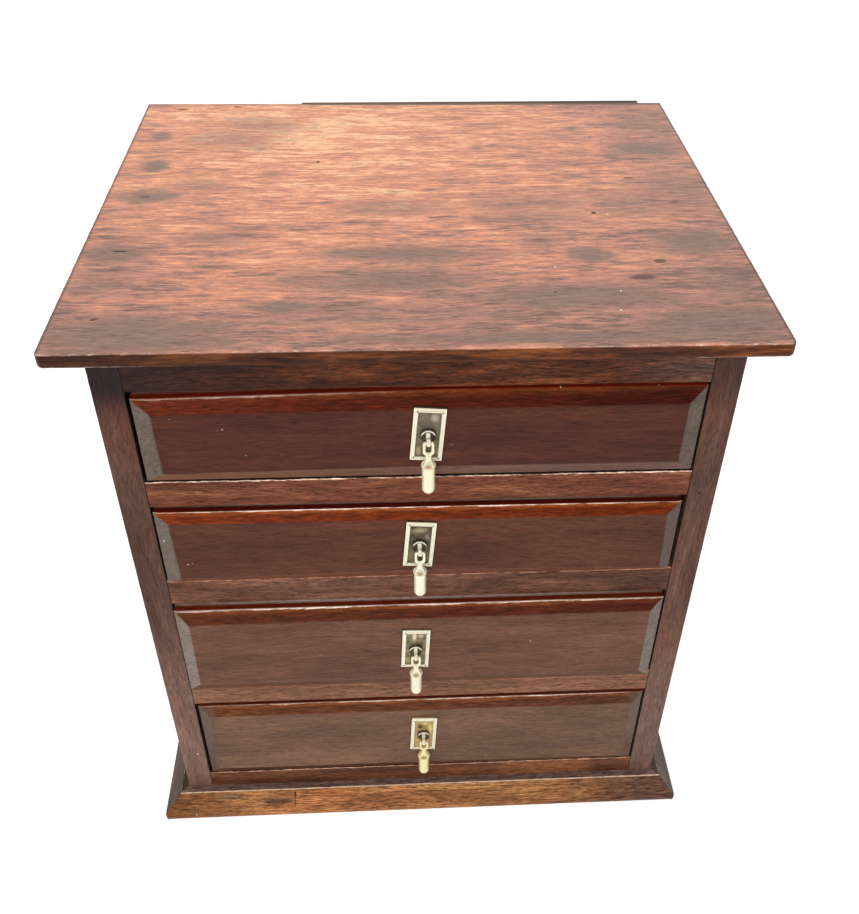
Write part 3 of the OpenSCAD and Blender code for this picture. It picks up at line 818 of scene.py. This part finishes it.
front_low, front_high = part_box("plinth_front")
plinth_top = front_high.z
front_wood = mahogany("plinth_front_mahogany_polish", "X", (0.8, 0.3, 0.6), "#7e5030", "#a06a42", "#c8925a",
                      "#f0cfae", red="#9c6034", contrast=0.85, pores=0.55, wear=0.1, rough=0.42,
                      details=plinth_marks)
side_wood = mahogany("plinth_side_mahogany_polish", "Y", (0.4, 0.9, 0.3), "#3a281f", "#543d31", "#725645",
                     "#d9b493", contrast=0.5, pores=0.6, wear=-0.1, rough=0.42)


def on_mitre(p):
    """Whether a point is on one of the two slanting planes where the plinth's lengths meet."""
    return near(abs(p.x) + left_low.x, case_front - p.y)


def is_mitre(a, b):
    """The slanting edges of a mitre, from the ledge to the foot."""
    return on_mitre(a) and on_mitre(b) and abs(a.z - b.z) > mm and not near(0, a.z, b.z) and (
        near(a.z, plinth_top) != near(b.z, plinth_top))


def line_at(height, out, reach):
    """A test for the plinth's edges at a height and so far out."""
    return lambda a, b: all(near(p.z, height) and near(p.dot(out), reach) for p in (a, b))


for part in ("front", "left", "right"):
    low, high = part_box(f"plinth_{part}")
    plinth = block(f"plinth_{part}_piece", low, high)
    if part == "front":
        out = Vector((0, -1, 0))
        foot = Vector((0, low.y, foot_h))
        slice_along(plinth, 0, board_step)
        for s in (-1, 1):
            slice_off(plinth, (s * high.x, low.y, 0), (s, 1, 0))
    else:
        s = -1 if part == "left" else 1
        out = Vector((s, 0, 0))
        foot = Vector((s * max(abs(low.x), abs(high.x)), 0, foot_h))
        slice_along(plinth, 1, board_step)
        slice_off(plinth, (s * front_high.x, front_low.y, 0), (-s, -1, 0))
    ledge = foot - out * (plinth_out - ledge_w) + Vector((0, 0, plinth_top - foot_h))
    slope = (ledge - foot).normalized()
    slice_off(plinth, foot, out * slope.z - Vector((0, 0, out.dot(slope))))
    for k in range(1, round_steps):
        turn = k * math.pi / 2 / round_steps
        for s in (-1, 1):
            tip = Vector((s * math.cos(turn), -math.sin(turn), 0))
            centre = Vector((s * (front_high.x - foot_corner_r), front_low.y + foot_corner_r, 0))
            if part == "front" or s * out.x > 0:
                slice_off(plinth, centre + tip * foot_corner_r, tip)
    soften(plinth, line_at(plinth_top, out, ledge.dot(out)), ledge_round)
    soften(plinth, line_at(foot_h, out, foot.dot(out)), foot_round, strength=0.3)
    soften(plinth, line_at(0, out, foot.dot(out)), foot_r, profile=0.5, strength=0.3)
    soften(plinth, is_mitre, mitre_round, segments=2)
    rub(plinth, depth=0.25 * mm, size=5 * mm)
    done(plinth, front_wood if part == "front" else side_wood, "carcase",
         [f"plinth_{part}"])

# Inside of the case
# Runners, kickers, stops and glue blocks of plain pale wood, never polished, that have darkened.
# The screws through the kickers into the top and the nails in the back are iron gone brown.


def inner_timber(name, along, place, dark, mid, light):
    """Plain planed softwood or oak that age has turned brown, without a finish."""
    material = new_material(name)
    wood = timber(along, place)
    colour = ramp(wood["figure"], (0.3, dark), (0.5, mid), (0.72, light))
    colour = streaked(colour, wood, 0.4)
    grime = ranged(wood["patches"], 0.5, 0.75, 0.0, 0.45)
    colour = mixed(grime, colour, "#6b4a30")
    dull = ranged(wood["streaks"], 0.0, 1.0, 0.6, 0.8)
    return polish(material, colour, dull, wood["streaks"], 0.0)


def dress(material, nodes):
    """Gives CAD nodes, whose shape is right, a better material."""
    for node in nodes:
        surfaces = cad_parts[node].data.materials
        surfaces.clear()
        surfaces.append(material)


inner_colours = ("#8a6540", "#ab8258", "#c6a074")
lengthwise = inner_timber("planed_inner_wood_lengthwise", "Y", (0.2, 0.3, 0.5), *inner_colours)
crosswise = inner_timber("planed_inner_wood_crosswise", "X", (0.6, 0.1, 0.8), *inner_colours)
dress(lengthwise, [f"runner_{i}_{side}" for i in (1, 2, 3) for side in ("left", "right")])
dress(lengthwise, ["kicker_left", "kicker_right", "drawer_stops"])
dress(crosswise, ["plinth_blocks"])

rusty = new_material("browned_wrought_iron")
where = add("TexCoord").outputs["Object"]
scale_marks = add("TexNoise", {"Vector": where, "Scale": 1 / (0.6 * mm), "Detail": 4})
colour = ramp(scale_marks, (0.35, "#2c2420"), (0.55, "#4a3d36"), (0.72, "#6b4a34"))
bump = add("Bump", {"Height": scale_marks, "Strength": 0.6, "Distance": 0.1 * mm})
shader = add("BsdfPrincipled", {"Base Color": colour, "Metallic": 0.7, "Normal": bump,
                                "Roughness": ranged(scale_marks, 0.0, 1.0, 0.5, 0.8)})
add("OutputMaterial", {"Surface": shader})
dress(rusty, ["back_nails", "top_screws"])

# Drawer fronts
# Solid mahogany, bevelled on four sides round a raised field, and cut at both ends for the sides'
# dovetails. The upper bevels are red and the field dark. The grey of the side bevels and of the top
# drawer's lower bevels is a painted reflection of the white paper, the bottom drawer's dark lower bevels
# are painted shadow, and the fields grow lighter from drawer to drawer partly as painted reflection. A
# painted contact shadow, with some dirt, rings each pull's plate.
edge_t = 12 * mm
bevel_w = 6.9 * mm
front_arris = 0.6 * mm
plate_w = 15.4 * mm
plate_h = 30.6 * mm
plate_turns = [math.radians(turn) for turn in (4.5, 4.5, 2.5, 2.5)]
plate_boxes = [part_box(f"drawer_{i}_pull_plate") for i in (1, 2, 3, 4)]
eye_places = [Vector(((low.x + high.x) / 2, high.y, (low.z + high.z) / 2)) for low, high in plate_boxes]
plate_shadow_and_dirt_w = 0.5 * mm

# Field in three shades, lighter from drawer to drawer partly as painted reflection, the rubbed arris, also
# a painted highlight, then the bevels, whose greys are painted reflection and whose darkest are painted
# shadow: upper and lower, each left and right, then left and right
front_colours_and_reflections = [
    ("#45221a", "#4e271b", "#572e1e", "#c08570",
     ("#63240b", "#421408"), ("#785139", "#735348"), "#695b51", "#67584e"),
    ("#512b1e", "#5b3222", "#653928", "#ffdcc2",
     ("#7c300b", "#6a270a"), ("#77472f", "#754636"), "#6f6257", "#614e48"),
    ("#613e2f", "#6b4634", "#754f3b", "#ffdcc2",
     ("#5a2a10", "#52200e"), ("#69452f", "#694833"), "#837268", "#7b6c61"),
    ("#694838", "#74523d", "#7e5b44", "#f4c6ac",
     ("#693a20", "#5c3424"), ("#4a2913", "#593824"), "#5f4b3f", "#6a5343"),
]
# What can be seen of each front's upper edge, past the rim
upper_edges = ("#7a2210", "#5a180b", "#6a2410", "#64260f")
# How pale and how golden each upper rim is, the pale being rubbed wood and a painted highlight, the pale at
# its left and right ends
rim_rubs_and_highlights = [(0.55, -0.55, 0.2), (0.95, 0.9, 0.75), (0.95, 0.8, 0.4), (0.75, 0.65, 0.45)]
# How far the plane took each front's lines off true, in millimetres: the lower rim, the field's lower and
# upper edges, and the upper rim, at the left end, in the middle and at the right end
off_true = [
    ((0, -0.9, -1.9, -1.5), (0, 0.9, -1.3, 0.9), (0, 0.3, -0.7, 0.9)),
    ((0, -2.2, 0.6, -1.0), (0, 0, -0.1, -0.9), (0, -2.6, -0.8, -1.4)),
    ((0, 1.0, -2.4, -0.4), (0, 0.8, -1.6, -0.2), (0, 0.6, -0.9, 0)),
    ((0, 0.7, 0, 0), (0, 0, 0, 0), (0, -1.0, 0, 0)),
]
# How far the field's upright edges are off true: the left one's foot and head, then the right one's
field_ends = [((2.4, 1.5), (-1.4, -1.2)), ((1.5, 0), (1.0, -0.8)), ((0, 0.4), (0, 0)), ((0, 0), (0, 0))]
small_marks = {
    1: (((-92.8, -135.8, 303.8), (0.4, 2, 0.4), pale_fleck),
        ((-95.1, -135.8, 303.3), (0.3, 2, 0.3), "#a08c80"),
        ((-116.1, -135.8, 310.2), (0.7, 2, 0.3), "#8a6a5a"),
        ((-83.6, -135.8, 288.1), (0.3, 2, 0.4), "#a08c80"),
        ((14, -135.8, 292.3), (0.9, 2, 0.8), "#5f4c45"),
        ((110.6, -132.5, 322.4), (0.8, 2, 0.6), pale_fleck),
        ((64.2, -132.5, 322.2), (0.6, 2, 0.6), pale_fleck)),
    2: (((-131.2, -133.6, 232.3), (0.6, 3, 0.6), pale_fleck),
        ((-120.9, -135.8, 217.2), (0.5, 2, 0.4), pale_fleck),
        ((-118.6, -135.8, 218.1), (0.3, 2, 0.3), pale_fleck)),
    3: (((60.7, -138.2, 152.5), (0.4, 2, 0.4), pale_fleck),),
    4: (),
}
# The drawer whose upright bevels' painted colour blends softly into the field
softest_bevels = 4


def rim_glow(wood, colour, along, left_pale, right_pale, golden):
    """The upper bevel of a drawer, pale along its rim where it is rubbed and a highlight is painted, and
    golden just under it.
    """
    # The pale line along the rim is worn wood and a painted highlight
    below = stored("below_rim")
    middle = between(maths("ABSOLUTE", along), 125, 70, 0.45)
    ends = between(along, -120, 120, left_pale, right_pale)
    # The pattern that breaks each up and by how much, where it starts and is full, its share and shade
    for noise, wide, start, end, share, shade in (("glints", 4, 0.8, -1.6, golden, "#c06a34"),
                                                  ("streaks", 2.4, -0.45, -0.75, ends, "#ffeedd")):
        depth = maths("MULTIPLY_ADD", wood[noise], -wide * mm, below)
        rubbed = between(depth, start, end)
        for part in (middle, share):
            rubbed = maths("MULTIPLY", rubbed, part, use_clamp=True)
        colour = mixed(rubbed, colour, shade)
    return colour


def front_details(i, edge_y, low_x, high_x, upper, lower, left, right):
    """A drawer front's colours: its four bevels with their painted reflection and shadow, its small marks,
    its edges in the gaps painted near black as shadow, and the painted shadow and dirt round its plate.
    """
    def details(wood, colour):
        where = parts(wood["where"])
        turned = parts(stored("facing", "Vector"))
        colour = scaled(colour, ranged(wood["patches"], 0.38, 0.62, 0.85, 1.15))
        mottle = ranged(wood["figure"], 0.35, 0.65, 0.87, 1.13)
        # Each bevel takes its colour by the way it faces: the greys are a painted reflection of the white
        # paper
        for axis, sign, first, last in (("Z", 1, *upper), ("Z", -1, *lower), ("X", -1, left, left),
                                        ("X", 1, right, right)):
            bevel = scaled(graded(where["X"], -110, 110, first, last), mottle)
            slope = ranged(turned[axis], sign * 0.1, sign * 0.34)
            if axis == "X" and i == softest_bevels:
                end = high_x if sign > 0 else low_x
                slope = ranged(where["X"], end - sign * 14 * mm, end - sign * 3 * mm, 0.0, 0.8, smooth=True)
            if axis == "Z" and sign > 0:
                bevel = rim_glow(wood, streaked(bevel, wood, 0.35), where["X"], *rim_rubs_and_highlights[i - 1])
            colour = mixed(slope, colour, bevel)
        # Painted shadow: the front's edges in the gaps, just behind its face, are near black, all but the
        # upper edge
        edge = ranged(maths("ABSOLUTE", turned["Y"]), 0.75, 0.5)
        near_front = ranged(where["Y"], edge_y + 6 * mm, edge_y + 3 * mm)
        edge = maths("MULTIPLY", edge, near_front)
        shade = mixed(ranged(turned["Z"], 0.3, 0.6), "#190a06", upper_edges[i - 1])
        colour = mixed(edge, colour, shade)
        colour = marks(*small_marks[i])(wood, colour)
        # Painted contact shadow, with some dirt, in a thin dark ring round the plate
        around = add("Mapping", {
            "Vector": wood["where"], "Location": eye_places[i - 1], "Rotation": (0, plate_turns[i - 1], 0),
            "Scale": (plate_w / 2 + plate_shadow_and_dirt_w, 1, plate_h / 2 + plate_shadow_and_dirt_w)}, vector_type="TEXTURE")
        around = parts(add("VectorMath", {0: around}, operation="ABSOLUTE"))
        outward = maths("MAXIMUM", around["X"], around["Z"])
        grime = ranged(outward, 1.0, 0.95, 0.0, 0.9)
        return mixed(grime, colour, near_black)
    return details


def face_directions(piece):
    """Stores each face's direction on the mesh, for finishes that differ from bevel to bevel."""
    facing = piece.data.attributes.new("facing", "FLOAT_VECTOR", "FACE")
    for face, mark in zip(piece.data.polygons, facing.data):
        mark.vector = face.normal


def plane_lines(piece, low, high, lines, ends):
    """Moves the lines of a front off true, and marks how far each point was below the upper rim."""
    mesh = piece.data
    points = np.empty(3 * len(mesh.vertices))
    mesh.vertices.foreach_get("co", points)
    x, z = points[0::3].copy(), points[2::3].copy()
    below = mesh.attributes.new("below_rim", "FLOAT", "POINT")
    below.data.foreach_set("value", high.z - z)
    middle = (low.x + high.x) / 2
    heights = [low.z, low.z + bevel_w, high.z - bevel_w, high.z]
    for k, across in enumerate(zip(*lines)):
        share = np.interp(z, heights, np.eye(4)[k])
        points[2::3] += share * np.interp(x, [low.x, middle, high.x], across) * mm
    for edge_x, (foot, head) in zip((low.x + bevel_w, high.x - bevel_w), ends):
        share = np.interp(x, [edge_x - bevel_w, edge_x, edge_x + bevel_w], [0, 1, 0])
        points[0::3] += share * np.interp(z, [low.z, high.z], [foot, head]) * mm
    mesh.vertices.foreach_set("co", points)
    mesh.update()


for i in (1, 2, 3, 4):
    low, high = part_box(f"drawer_{i}_front")
    edge_y = high.y - edge_t
    front = block(f"drawer_{i}_front_piece", (low.x, edge_y, low.z), high)
    pick_faces(front, lambda middle, normal: normal.y < -0.9)
    bpy.ops.mesh.inset(thickness=bevel_w)
    bpy.ops.transform.translate(value=(0, low.y - edge_y, 0))
    slice_along(front, 0, board_step)
    slice_along(front, 2, board_step)
    field_left, field_right = low.x + bevel_w, high.x - bevel_w
    field_low, field_high = low.z + bevel_w, high.z - bevel_w

    def on_field_edge(p):
        """Whether a point is on the outline of the raised field."""
        return near(p.y, low.y) and (near(p.x, field_left, field_right) or near(p.z, field_low, field_high))

    def on_rim(p):
        """Whether a point is on the outer edge of the bevel."""
        return near(p.y, edge_y) and (near(p.x, low.x, high.x) or near(p.z, low.z, high.z))

    def is_arris(a, b):
        """The field's outline, the rim and the four mitre lines between two bevels."""
        if on_field_edge(a) and on_field_edge(b):
            upright = near(a.x, b.x) and not near(a.z, b.z) and near(a.x, field_left, field_right)
            return upright or near(a.z, b.z) and near(a.z, field_low, field_high)
        if on_rim(a) and on_rim(b):
            return True
        return all(near(abs(step), bevel_w) for step in (a.x - b.x, a.z - b.z))

    def rubbing_of(a, b):
        """How much an arris is rubbed: most along the field's lower edge, hardly on the rim."""
        if near(a.z, field_low) and near(b.z, field_low):
            return 0.66
        return 0.45 if near(a.z, field_high) and near(b.z, field_high) else 0.3
    soften(front, is_arris, front_arris, segments=3, strength=rubbing_of)
    rub(front, depth=0.12 * mm, size=5 * mm)
    plane_lines(front, low, high, off_true[i - 1], field_ends[i - 1])
    for side in ("left", "right"):
        work(front, cad_copy(f"drawer_{i}_{side}_side"), "DIFFERENCE")
    face_directions(front)
    colours, bevels = front_colours_and_reflections[i - 1][:4], front_colours_and_reflections[i - 1][4:]
    polished = mahogany(f"drawer_{i}_mahogany_polish", "X", (0.37 * i, 0.11 * i, 0.23 * i), *colours,
                        contrast=0.38, pores=0.35, rough=0.3,
                        details=front_details(i, edge_y, low.x, high.x, *bevels))
    done(front, polished, f"drawer_{i}", [f"drawer_{i}_front"])

# Drawer boxes
# Thin sides and a back of pale wood, dovetailed by hand, round a bottom panel held in grooves.
drawer_sides = inner_timber("drawer_side_wood", "Y", (0.7, 0.5, 0.2), *inner_colours)
drawer_back = inner_timber("drawer_back_wood", "X", (0.3, 0.8, 0.6), *inner_colours)
for i in (1, 2, 3, 4):
    dress(drawer_sides, [f"drawer_{i}_left_side", f"drawer_{i}_right_side"])
    dress(drawer_back, [f"drawer_{i}_back", f"drawer_{i}_bottom"])

# Pull plates
# Cast brass: a sunk panel inside two rounded beads with a fine groove between them. The beads are
# rubbed bright by hands, their near-white partly a painted reflection, and each panel has kept its own
# patina.
bead_w = 0.9 * mm
groove_w = 0.35 * mm
outer_bead_h = 1.5 * mm
inner_bead_h = 1.9 * mm
panel_h = 0.9 * mm
groove_h = 1.25 * mm
bead_round = 0.36 * mm
plate_step = 1.5 * mm
patina_over = 0.05 * mm
patina_fade = 0.15 * mm


def stand_copy(piece, name, move):
    """A copy of a piece with its own mesh, moved into place."""
    copy = piece.copy()
    copy.data = piece.data.copy()
    copy.name = name
    copy.data.name = name
    scene.collection.objects.link(copy)
    copy.data.transform(move)
    return copy


first_plate = block("plate_pattern", (-plate_w / 2, -outer_bead_h, -plate_h / 2),
                    (plate_w / 2, 0, plate_h / 2))
slice_along(first_plate, 0, plate_step)
slice_along(first_plate, 2, plate_step)
pick_faces(first_plate, lambda middle, normal: normal.y < -0.9)
for inset, rise in ((bead_w, groove_h - outer_bead_h), (groove_w, inner_bead_h - groove_h),
                    (bead_w, panel_h - inner_bead_h)):
    bpy.ops.mesh.inset(thickness=inset)
    bpy.ops.mesh.extrude_region_move(TRANSFORM_OT_translate={"value": (0, -rise, 0)})


def turned_in(p, inset):
    """Whether a point is on the rectangle so far inside the plate's outline."""
    return near(min(plate_w / 2 - abs(p.x), plate_h / 2 - abs(p.z)), inset)


def bead_edge(a, b):
    """The two upper edges of each bead."""
    for height, insets in ((outer_bead_h, (0, bead_w)),
                           (inner_bead_h, (bead_w + groove_w, 2 * bead_w + groove_w))):
        if near(a.y, -height) and near(b.y, -height):
            return any(turned_in(a, inset) and turned_in(b, inset) for inset in insets)
    return False


soften(first_plate, bead_edge, bead_round, segments=4, profile=0.5)


def cast_brass(name, patina, pale, cover, place, spots=(), bright="#fffcf0", warm="#fdf2cc"):
    """Old cast brass: bright where it is rubbed, its near-white colours partly a painted reflection of the
    white room, with a soft patina where its cover says, and spots on that."""
    material = new_material(name)
    where = add("TexCoord").outputs["Object"]
    moved = add("Mapping", {"Vector": where, "Location": place})
    clouds = add("TexNoise", {"Vector": moved, "Scale": 1 / (3.5 * mm), "Detail": 4, "Roughness": 0.65})
    grit = add("TexNoise", {"Vector": moved, "Scale": 1 / (0.7 * mm), "Detail": 3})
    # The pale metal colours are rubbed brass and, in part, a painted reflection of the white room
    metal_and_reflection = mixed(clouds, bright, warm)
    film = mixed(ranged(clouds, 0.38, 0.62), patina, pale)
    for centre, radii, mark in spots:
        film = marked(film, where, centre, radii, mark, soft=0.6)
    covered = maths("MULTIPLY_ADD", grit, 0.5, cover(where))
    covered = ranged(covered, 0.6, 0.9)
    colour = mixed(covered, metal_and_reflection, film)
    bump = add("Bump", {"Height": maths("MULTIPLY_ADD", grit, 0.35, clouds),
                        "Strength": 0.35, "Distance": 0.12 * mm})
    metallic = ranged(covered, 0.0, 1.0, 0.3, 0.35)
    rough = ranged(covered, 0.0, 1.0, 0.2, 0.42)
    shader = add("BsdfPrincipled", {"Base Color": colour, "Metallic": metallic,
                                    "Roughness": rough, "Normal": bump})
    add("OutputMaterial", {"Surface": shader})
    return material


def deeper_than(place, height, softness, lean=0.0):
    """Covers whatever lies nearer the wood than a height over the field, and leans with the height."""
    def cover(where):
        depth = add("VectorMath", {0: where, 1: (0, 1, -lean)}, operation="DOT_PRODUCT")
        level = place.y - lean * place.z - height
        return ranged(depth.outputs["Value"], level - softness, level)
    return cover


# Each panel's two shades of patina, then its spots: x and z from its middle, their radii, a colour
patinas = [
    ("#63584a", "#86775f", ((3.2, 9.4, 2.6, 3.2, "#b3a594"), (-4.6, -9.6, 1.8, 4.0, "#ad9b75"),
                            (4.8, -9.5, 1.8, 3.6, "#93805c"), (0, 6, 4, 3, "#75695a"))),
    ("#40382a", "#75664f", ((0, 9.5, 5.5, 2.6, "#a39478"), (3.8, 4.6, 2, 3, "#8f826c"),
                            (-4.5, -8, 2.2, 6, "#86744f"), (4.5, -9, 2, 4, "#7a6a48"))),
    ("#6b5c42", "#a18f70", ((-0.6, 9.8, 1.7, 5.0, "#f2e2c8"), (2.8, 10.2, 2.6, 2.2, "#cdb694"),
                            (-4.4, 6.5, 1.8, 3.5, "#776843"), (-4.6, -9.6, 1.8, 3.5, "#b89c62"))),
    ("#a58a52", "#d3b878", ((-2.2, 7.0, 2.6, 3.4, "#54431f"), (3.9, 3, 1.6, 9, "#ead08e"),
                            (-4.2, 2, 1.4, 9, "#c09a74"), (1, 10, 2.4, 2.5, "#e0c684"))),
]
for i, place in enumerate(eye_places, 1):
    plate = stand_copy(first_plate, f"drawer_{i}_plate",
                       Matrix.Translation(place) @ Matrix.Rotation(plate_turns[i - 1], 4, "Y"))
    patina, pale, spots = patinas[i - 1]
    cover = deeper_than(place, panel_h + patina_over, patina_fade)
    spots = [((place.x / mm + x, place.y / mm, place.z / mm + z), (wide, 4, tall), mark)
             for x, z, wide, tall, mark in spots]
    material = cast_brass(f"patinated_cast_brass_plate_{i}", patina, pale, cover, (0.1 * i, 0, 0), spots)
    done(plate, material, f"drawer_{i}", [f"drawer_{i}_pull_plate"])
bpy.data.objects.remove(first_plate)

# Collars and eyes
# A round dished collar turned with its shank, which runs through the drawer front to a square nut,
# and in the dish a flat eye drilled from side to side for the drop.
pull_out = 7 * mm
eye_r = 2.1 * mm
eye_wall = 0.8 * mm
eye_t = 1.8 * mm
stem_half = 1.5 * mm
dish_floor = 2.1 * mm
lip_h = 3.3 * mm
stem_round = 0.3 * mm
eye_round = 0.25 * mm
stem_in_eye = 0.4 * mm
stem_in_dish = 0.5 * mm
shank_end = 18.8 * mm
thread_start = 14 * mm
thread_pitch = 0.6 * mm
thread_lead = 0.2 * mm
tip_r = 1.2 * mm
thread_low_r = 1.28 * mm
thread_high_r = 1.5 * mm
collar_outline = [(1.5, 0.8), (3.7, 0.85), (3.8, 1.1), (3.72, 1.6), (3.72, 2.3), (3.8, 2.7), (3.78, 3.0),
                  (3.62, 3.22), (3.38, 3.3), (3.12, 3.24), (2.96, 3.06), (2.88, 2.8), (2.7, 2.45),
                  (2.3, 2.2), (1.6, 2.1), (0, 2.1)]


def from_middle(where, x):
    """How far a point is from a pull's middle, to either side."""
    return maths("ABSOLUTE", maths("SUBTRACT", parts(where)["X"], x))


def collar_patina(place):
    """Patina over the dish and all behind the collar's lip, but not on the stem."""
    behind = deeper_than(place, lip_h, 0.2 * mm, lean=0.12)

    def cover(where):
        height = parts(where)["Z"]
        off_stem = ranged(from_middle(where, place.x), eye_t / 2, eye_t / 2 + 0.15 * mm)
        over_stem = ranged(height, place.z + stem_half + 0.1 * mm, place.z + stem_half + 0.3 * mm)
        off_stem = maths("MAXIMUM", off_stem, over_stem)
        return maths("MULTIPLY", behind(where), off_stem)
    return cover


def lathe(name, outline, place, turn=(0, 0, 0), steps=48):
    """Turns an outline of radius and height round the Z axis, then sets it in place."""
    mesh = bpy.data.meshes.new(name)
    mesh.from_pydata([(r, 0, h) for r, h in outline], [(i, i + 1) for i in range(len(outline) - 1)], [])
    piece = bpy.data.objects.new(name, mesh)
    scene.collection.objects.link(piece)
    take(piece)
    bpy.ops.mesh.spin(steps=steps, angle=2 * math.pi, center=(0, 0, 0), axis=(0, 0, 1))
    bpy.ops.mesh.select_all(action="SELECT")
    bpy.ops.mesh.remove_doubles(threshold=0.002 * mm)
    bpy.ops.mesh.normals_make_consistent(inside=False)
    bpy.ops.object.mode_set(mode="OBJECT")
    piece.location = place
    piece.rotation_euler = turn
    bpy.ops.object.transform_apply(location=True, rotation=True, scale=True)
    return piece


eye_x, field_y, eye_z = eye_places[0]
eye_y = field_y - pull_out
shank = [(0, -shank_end), (tip_r, -shank_end)]
for k in range(int((shank_end - thread_start) / thread_pitch)):
    start = -shank_end + thread_lead + k * thread_pitch
    shank += [(thread_low_r, start), (thread_high_r, start + 0.5 * thread_pitch)]
outline = shank + [(r * mm, h * mm) for r, h in collar_outline]
first_eye = lathe("eye_pattern", outline, (eye_x, field_y, eye_z), turn=(math.pi / 2, 0, 0))
stem = block("stem", (eye_x - eye_t / 2, eye_y + eye_r - stem_in_eye, eye_z - stem_half),
             (eye_x + eye_t / 2, field_y - dish_floor + stem_in_dish, eye_z + stem_half))
pick_edges(stem, edges_along(1))
bpy.ops.mesh.bevel(offset=stem_round, segments=3, affect="EDGES")
hold(stem)
bpy.ops.object.select_all(action="DESELECT")
bpy.ops.mesh.primitive_cylinder_add(vertices=48, radius=eye_r, depth=eye_t, location=(eye_x, eye_y, eye_z),
                                    rotation=(0, math.pi / 2, 0))
ring = placed("eye_ring")
pick_faces(ring, lambda middle, normal: abs(normal.x) > 0.9)
bpy.ops.mesh.inset(thickness=eye_wall)
bpy.ops.mesh.bridge_edge_loops()
pick_edges(ring, lambda a, b: near(a.x, b.x) and not runs_along(a, b, 0))
bpy.ops.mesh.bevel(offset=eye_round, segments=3, affect="EDGES")
hold(ring)
work(stem, ring, "UNION")
work(first_eye, stem, "UNION")

for i, place in enumerate(eye_places, 1):
    eye = stand_copy(first_eye, f"drawer_{i}_eye", Matrix.Translation(place - eye_places[0]))
    material = cast_brass(f"cast_brass_collar_{i}", "#40382b", "#6a5d48",
                          collar_patina(place), (0.3, 0.2, 0.1 * i))
    done(eye, material, f"drawer_{i}", [f"drawer_{i}_pull_eye"])
    dress(material, [f"drawer_{i}_pull_nut"])
bpy.data.objects.remove(first_eye)

# Drops
# Cast brass bobs, each with its own ring through the eye, a thin neck, a flared shoulder over a
# groove and a long body with a round end. Fingers keep them bright, except in the groove, and their
# near-white is partly a painted reflection.
ring_r = 2.25 * mm
wire_r = 0.9 * mm
ring_straight = 2.6 * mm
drop_r = 3.2
drop_end = 30.6
drop_outline = [(0, -7.4), (1.2, -7.4), (1.48, -8.0), (1.5, -9.3), (1.62, -10.0), (1.95, -10.9),
                (2.45, -11.8), (3.0, -12.5), (3.42, -12.95), (3.66, -13.25), (3.7, -13.5), (3.58, -13.8),
                (3.25, -14.1), (3.06, -14.4), (3.0, -14.7), (3.04, -15.0), (3.14, -15.3), (3.2, -15.8),
                (3.22, -19), (3.2, -24), (3.2, -27.4)]
end_z = drop_r - drop_end
end_steps = 12
for k in range(1, end_steps):
    turn = k * math.pi / (2 * end_steps)
    drop_outline.append((drop_r * math.cos(turn), end_z - drop_r * math.sin(turn)))
drop_outline.append((0, -drop_end))
hang = eye_places[0] - Vector((0, pull_out, 0))
first_drop = lathe("drop_pattern", [(r * mm, h * mm) for r, h in drop_outline], hang)
bpy.ops.object.select_all(action="DESELECT")
middle_z = hang.z - ring_r - ring_straight / 2
bpy.ops.mesh.primitive_torus_add(major_segments=48, minor_segments=24, major_radius=ring_r,
                                 minor_radius=wire_r, location=(hang.x, hang.y, middle_z),
                                 rotation=(math.pi / 2, 0, 0))
loop = placed("drop_ring")
for s in (-1, 1):
    pick_faces(loop, lambda middle, normal: s * (middle.z - middle_z) > 0)
    bpy.ops.transform.translate(value=(0, 0, s * ring_straight / 2))
hold(loop)
work(first_drop, loop, "UNION")


def drop_patina(place):
    """Patina on the top of the ring, on the front of the shoulder and faintly in the groove, and a painted
    dark reflection down the ring's outer sides.
    """
    def cover(where):
        height = parts(where)["Z"]
        # Painted reflection: the ring's outer sides, above the neck, darkened as if reflecting dark
        # surroundings
        outside = ranged(from_middle(where, place.x), ring_r + 0.25 * mm, ring_r + 0.6 * mm)
        over_neck = ranged(height, place.z - 6.6 * mm, place.z - 6.0 * mm)
        outside = maths("MULTIPLY", outside, over_neck)
        above = ranged(height, place.z + 0.2 * mm, place.z + 0.8 * mm)
        front = spot(where, place + Vector((-0.3, -pull_out / mm - 3, -12.5)) * mm,
                     (5.6 * mm, 4.2 * mm, 3.2 * mm))
        groove = spot(where, place + Vector((0, -pull_out / mm, -14.7)) * mm, (6 * mm, 6 * mm, 0.7 * mm))
        shoulder = maths("MULTIPLY_ADD", groove, 0.25, maths("MULTIPLY", front, 0.68))
        ring = maths("MAXIMUM", outside, above)
        return maths("MAXIMUM", ring, shoulder)
    return cover


# Each drop's near-white metal colours, partly a painted reflection of the white room
drop_tints_and_reflections = [("#fffce6", "#fff2c4"), ("#fffdee", "#fff5d6"), ("#fffbe6", "#fcefc8"),
              ("#fff8c4", "#fbe898")]
for i, place in enumerate(eye_places, 1):
    drop = stand_copy(first_drop, f"drawer_{i}_drop", Matrix.Translation(place - eye_places[0]))
    shoulder = ((place.x / mm, (place.y - pull_out) / mm - 3, place.z / mm - 12.5), (6, 5, 3.6), "#bd8f58")
    bright, warm = drop_tints_and_reflections[i - 1]
    material = cast_brass(f"rubbed_cast_brass_drop_{i}", "#5e4c30", "#8f7850", drop_patina(place),
                          (0.7, 0.1, 0.2 * i), [shoulder], bright, warm)
    done(drop, material, f"drop_{i}", [f"drawer_{i}_pull_drop"])
bpy.data.objects.remove(first_drop)
